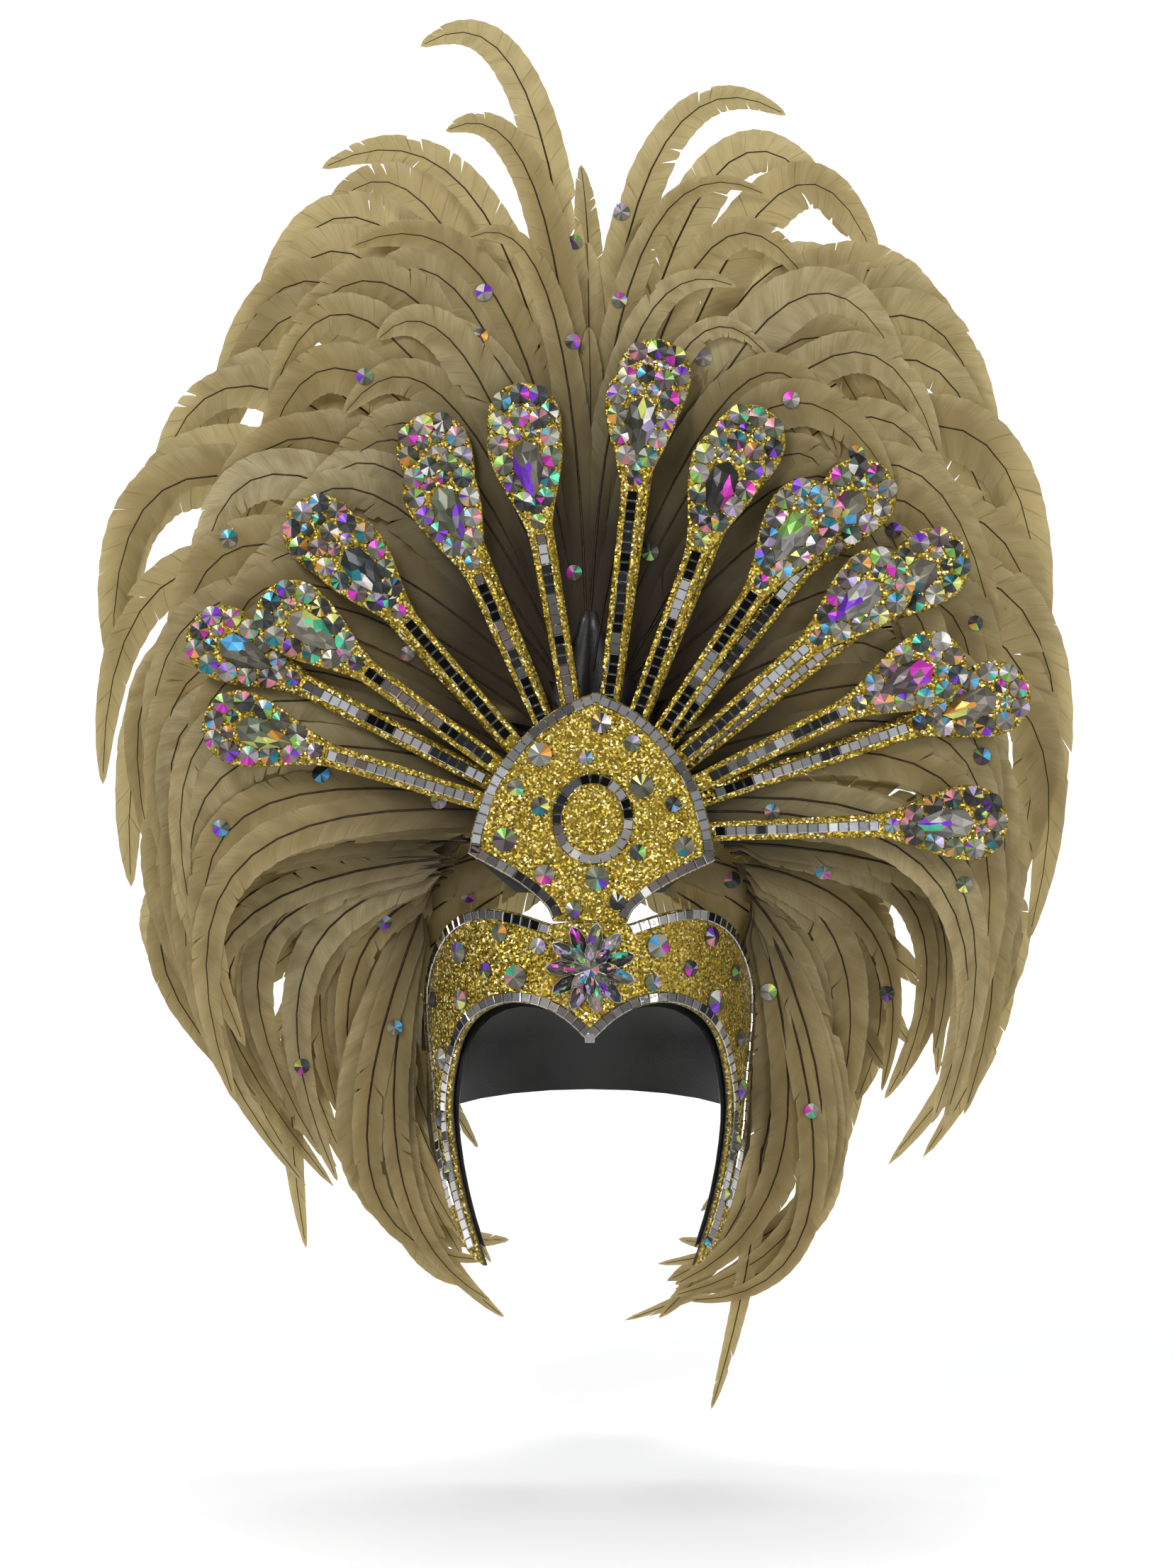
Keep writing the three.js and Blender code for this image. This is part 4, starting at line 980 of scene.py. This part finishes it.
CROWN_LAYERS = [
    ("front", 0.6, 0.42, 0.72, 0.5, 7, 17, 15, 0.08),
    ("middle", 0.45, 0.6, 0.86, 3.5, 23, 17, 17, 0.18),
    ("back", 0.95, 0.8, 1.0, 18, 62, 19, 19, 0.3),
]
# Long feathers of the top, one by one
TOP = {
    "left": np.array([[(-4, 250), (-8, 555), (-96, 511)], [(-8, 250), (-42, 492), (-153, 440)],
                      [(-2, 240), (2, 380), (0, 440)]], float),
    "right": np.array([[(0, 260), (12, 522), (111, 473)], [(4, 250), (62, 545), (149, 404)],
                       [(14, 230), (110, 500), (184, 312)], [(5, 240), (14, 380), (34, 452)]], float),
}
TOP_FROM = 0.84
# Range of tips, from drawn out to blunt
CROWN_TIPS = (1.8, 3.4)
SIDE_TIPS = (1.6, 3.0)
NOTCH = {"left": np.array([
    [(-35, 60, -77.4), (-110, 48, -12), (-185, -60, 8)],
    [(-22, 52, -77.4), (-104, 30, -12), (-172, -76, 10)],
    [(-14, 46, -77.4), (-98, 16, -10), (-156, -92, 12)],
    [(-28, 56, -77.4), (-116, 44, -14), (-200, -30, 6)]], float)}
NOTCH["right"] = NOTCH["left"] * np.array([-1, 1, 1])
feather_meshes = []


def plume(name, ends, half, roll, blunt, seed, plate, node):
    points, faces, which, uv, values = feathers(ends, half, roll, blunt, seed)
    start = len(points)
    rows, cols = plate.shape[:2]
    plate_faces = grid_faces(rows, cols, wrap=True) + start
    caps = np.array([start + np.arange(cols)[::-1], start + (rows - 1) * cols + np.arange(cols)])
    caps = np.concatenate([caps[:, [0, 1, 4, 5]], caps[:, [1, 2, 3, 4]]])
    feather_meshes.append((points * MM, faces))
    points = np.vstack([points, plate.reshape(-1, 3)])
    uv = np.vstack([uv, np.zeros((rows * cols, 2))])
    values = {key: np.concatenate([value, np.zeros(rows * cols)]) for key, value in values.items()}
    which = np.concatenate([which, np.full(len(plate_faces) + 4, 2)])
    faces = np.vstack([faces, plate_faces, caps])
    piece(name, points, faces, [VANE, SHAFT, FOAM], [node], which=which, uv=uv, values=values)


def crown_plumes():
    """Three layers a side. Low rows reach the outline in every layer; tips curl down and inwards."""
    for k, (layer, plate_reach, root_reach, reach, belly, tip, count, half, roll) in enumerate(CROWN_LAYERS):
        plate_y = PLUME_Y + k * (4 + GAP)
        for s, (side, rows) in enumerate(CROWN_FLOW.items()):
            luck = np.random.default_rng(100 + 10 * k + s)
            sign = -1 if side == "left" else 1
            long = TOP[side]
            fanned = count - len(long)
            share = np.linspace(0, TOP_FROM, fanned) + luck.normal(0, 0.2 / count, fanned)
            share = np.concatenate([np.clip(share, 0, 1), np.full(len(long), 1.0)])
            flow = np.concatenate([flow_at(rows, share[:-len(long)]), long])
            far = reach + (1 - reach) * 0.9 * np.clip(1 - share / 0.45, 0, 1)
            scale = np.stack([np.full(count, root_reach), far, far], 1)[..., None]
            flat = PLUME_CENTRE + (flow - PLUME_CENTRE) * scale
            loose = luck.normal(0, 1, flat.shape) * np.array([2.0, 7.0, 9.0])[None, :, None]
            loose[0] *= 0.2
            loose[-len(long):] *= 0.2
            arched = np.interp(share, [0, 0.25, 0.5, 0.78, 0.9, 1], [0.5, 0.8, 1.2, 1.2, 0.9, 0])
            curl = np.stack([-sign * 16 * arched, 0 * share, -24 * arched], 1)
            curl *= luck.uniform(0.4, 1.6, (count, 1)) * reach
            flat = flat + loose
            flat[:, 2] -= 0.6 * curl[:, ::2]
            y = plate_y - 0.2 + luck.uniform(0, 1.6, count)
            lift = luck.uniform(0, 1, count)
            depth = np.stack([y, y + belly + 2 * lift, y + tip + 5 * lift], 1)
            ends = np.stack([flat[..., 0], depth, flat[..., 1]], -1)
            ends = np.concatenate([ends, curl[:, None]], 1)
            slim = 0.8 + 0.2 * np.clip(share / 0.4, 0, 1) - 0.3 * (share == 1)
            halves = half * luck.uniform(0.78, 1.1, count) * slim
            rolls = luck.normal(0, roll, count)
            edge = PLUME_CENTRE + (rows[:, 0] - PLUME_CENTRE) * plate_reach
            edge = np.vstack([edge[:1] - [0, 16], edge])
            seam = np.stack([np.zeros(len(edge)), edge[:, 1]], 1)
            plate = backing(*((edge, seam) if sign < 0 else (seam, edge)), plate_y, 4.0)
            plume(f"feathers_{layer}_{side}", ends, halves, rolls, CROWN_TIPS, 200 + 10 * k + s, plate,
                  f"plume_{layer}_{side}")


# Depth of the belly and tip, looseness and half width of each layer of side feathers
SIDE_LAYERS = [(-12, -2, 0.25, 11.5), (-6, 10, 1.0, 13.0), (0, 20, 1.4, 13.0)]


def side_plumes():
    """Layers of the traced side feathers: the first as traced, those behind looser and deeper."""
    for s, (side, rows) in enumerate(SIDE_FLOW.items()):
        luck = np.random.default_rng(300 + s)
        sign = -1 if side == "left" else 1
        count = len(rows)
        all_ends, halves = [], []
        for belly, tip, loose, half in SIDE_LAYERS:
            flat = rows + luck.normal(0, loose, rows.shape) * np.array([1.5, 8.0, 9.0])[None, :, None]
            flat[:, 0] = np.where(loose > 0.5, rows[:, 0], flat[:, 0])
            inwards, down = luck.normal(-3, 8, count), luck.normal(-3, 4, count)
            curl = np.stack([sign * inwards, np.zeros(count), down], 1) * loose
            root = -77 + 2.3 * np.maximum(np.abs(flat[:, 0, 0]) - 74, 0)
            depth = np.stack([root, belly + luck.uniform(0, 4, count), tip + luck.uniform(0, 6, count)], 1)
            ends = np.stack([flat[..., 0], depth, flat[..., 1]], -1)
            all_ends.append(np.concatenate([ends, curl[:, None]], 1))
            halves.append(half * luck.uniform(0.75, 1.1, count))
        still = np.zeros((1, 1, 3))
        if side == "right":
            depth = np.array([[-9.5, -3.5, 2.5]])
            hanging = np.stack([HANGING[..., 0], depth, HANGING[..., 1]], -1)
            all_ends.append(np.concatenate([hanging, still], 1))
            halves.append(np.array([7.0]))
        notch = NOTCH[side][..., [0, 2, 1]]
        all_ends.append(np.concatenate([notch, np.repeat(still, len(notch), 0)], 1))
        halves.append(np.full(len(notch), 18.0))
        ends = np.vstack(all_ends)
        half = np.concatenate(halves)
        inner = (SIDE_PLATE - [5.2, 0]) * [sign, 1]
        outer = inner + [sign * 2.5, 0]
        plate = backing(*((outer, inner) if sign < 0 else (inner, outer)), -14, 6.0)
        rolls = luck.normal(0, 0.18, len(ends))
        plume(f"feathers_side_{side}", ends, half, rolls, SIDE_TIPS, 320 + s, plate,
              f"plume_side_{side}")


crown_plumes()
side_plumes()


# Loose stones on the feathers, by their places across and down the front view

EYE = np.array([-0.001, -1.8, 0.09])
VIEW_MIDDLE = np.array([829.5, 1106.0])
VIEW_HEIGHT = 2212
VIEW_STEP = 0.385 / 1700
FEATHER_STONES = np.array([
    (811, 342), (877, 300), (874, 424), (808, 482), (683, 413), (678, 474), (515, 531), (323, 760),
    (312, 1168), (453, 1092), (542, 1300), (557, 1449), (426, 1504), (661, 1263), (619, 1130),
    (575, 922), (993, 505), (1116, 564), (1208, 639), (917, 779), (810, 808), (1261, 748), (1376, 879),
    (1385, 1067), (1360, 1248), (1161, 1230), (1032, 1241),
    (1251, 1401), (1084, 1399), (1144, 1567), (1089, 1145)], float)


def feather_stones():
    """Each stone stands where the line of sight through its place in the view first meets a vane."""
    points = np.vstack([p for p, _ in feather_meshes])
    base = np.cumsum([0] + [len(p) for p, _ in feather_meshes[:-1]])
    faces = np.vstack([f + b for (_, f), b in zip(feather_meshes, base)])
    tree = BVHTree.FromPolygons([Vector(p) for p in points.tolist()], faces.tolist())
    across, down = ((FEATHER_STONES - VIEW_MIDDLE) * VIEW_STEP).T
    aim = np.stack([across, np.ones(len(across)), -down], 1)
    hits = [tree.ray_cast(Vector(EYE), Vector(a)) for a in unit(aim)]
    found = [(np.array(h[0]) / MM, np.array(h[1])) for h in hits if h[0] is not None]
    centre = np.array([c for c, _ in found])
    normal = np.array([n if n[1] < 0 else -n for _, n in found])
    return round_stones(centre, unit(normal + 1.5 * FRONT), chance.uniform(8.2, 10.0, len(centre)))


stone_piece("stones_on_feathers", [feather_stones()], [])


# Solids that stay as they are

def rounded_cap():
    """The cap's own shape with its facets shaded round: doubles merged, and edges under 35 degrees smooth."""
    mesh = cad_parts["head_cap"].data.copy()
    work = bmesh.new()
    work.from_mesh(mesh)
    bmesh.ops.remove_doubles(work, verts=work.verts, dist=1e-5)
    for edge in work.edges:
        edge.smooth = edge.calc_face_angle(math.pi) < math.radians(35)
    for face in work.faces:
        face.smooth = True
    work.to_mesh(mesh)
    work.free()
    mesh.materials.clear()
    mesh.materials.append(FOAM)
    item = bpy.data.objects.new("cap_lining", mesh)
    bpy.context.scene.collection.objects.link(item)
    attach(item, "root")
    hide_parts("head_cap")


rounded_cap()
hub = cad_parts["paddle_hub"]
hub.data.materials.clear()
hub.data.materials.append(FOAM)


# Floor, light and camera

def floor_finish():
    """Floor: pale matt paper with a barely seen mottle."""
    material, shader, w = finish("floor_paper", Roughness=0.85)
    place = w.node("ShaderNodeTexCoord", "Object")
    mottle = w.node("ShaderNodeTexNoise", 0, None, {"Vector": place, "Scale": 4.0, "Detail": 3.0})
    feed(mottle.ramp((0.3, (0.88, 0.88, 0.88)), (0.7, (0.92, 0.92, 0.91))), shader, "Base Color")
    return material


def studio_floor():
    """A floor that bends up into a wall: a profile of floor, quarter round and wall carried sideways."""
    turn = np.linspace(0, math.pi / 2, 12)
    depth = np.concatenate([[-4000], 2800 + 800 * np.sin(turn), [3600]])
    height = np.concatenate([[-300], -300 + 800 * (1 - np.cos(turn)), [4500]])
    across = np.linspace(-5000, 5000, 3)
    points = np.stack([np.broadcast_to(across, (len(depth), 3)), np.repeat(depth[:, None], 3, 1),
                       np.repeat(height[:, None], 3, 1)], -1)
    mesh = bpy.data.meshes.new("floor")
    mesh.from_pydata((points.reshape(-1, 3) * MM).tolist(), [], grid_faces(len(depth), 3).tolist())
    mesh.materials.append(floor_finish())
    mesh.polygons.foreach_set("use_smooth", np.ones(len(mesh.polygons), bool))
    item = bpy.data.objects.new("floor", mesh)
    bpy.context.scene.collection.objects.link(item)


def soft_lamp(name, place, aim, size, power, colour=(1, 1, 1)):
    lamp = bpy.data.lights.new(name, "AREA")
    lamp.shape = "RECTANGLE"
    lamp.size, lamp.size_y = size
    lamp.energy = power
    lamp.color = colour
    item = bpy.data.objects.new(name, lamp)
    item.location = place
    item.rotation_euler = (Vector(aim) - Vector(place)).to_track_quat("-Z", "Y").to_euler()
    bpy.context.scene.collection.objects.link(item)


studio_floor()
soft_lamp("key", (-1.1, -1.9, 1.6), (0, -0.05, 0.1), (0.9, 0.9), 40)
soft_lamp("fill", (1.5, -1.7, 0.5), (0, -0.05, 0.1), (0.8, 1.3), 16)
soft_lamp("top", (0.0, 0.2, 2.0), (0, -0.05, 0.2), (1.2, 0.6), 16)
soft_lamp("wall", (0.0, 2.3, 2.8), (0, 3.6, 0.5), (3.4, 0.6), 80)

bpy.context.scene.view_settings.view_transform = "Standard"
world = bpy.data.worlds.new("studio")
bpy.context.scene.world = world
world.use_nodes = True
world.node_tree.nodes["Background"].inputs["Color"].default_value = (0.95, 0.97, 1.0, 1)
world.node_tree.nodes["Background"].inputs["Strength"].default_value = 0.46

lens = bpy.data.cameras.new("camera")
lens.sensor_width = 36
lens.lens = lens.sensor_width / VIEW_STEP / VIEW_HEIGHT
camera = bpy.data.objects.new("camera", lens)
camera.location = EYE.tolist()
camera.rotation_euler = (math.pi / 2, 0, 0)
bpy.context.scene.collection.objects.link(camera)
bpy.context.scene.camera = camera
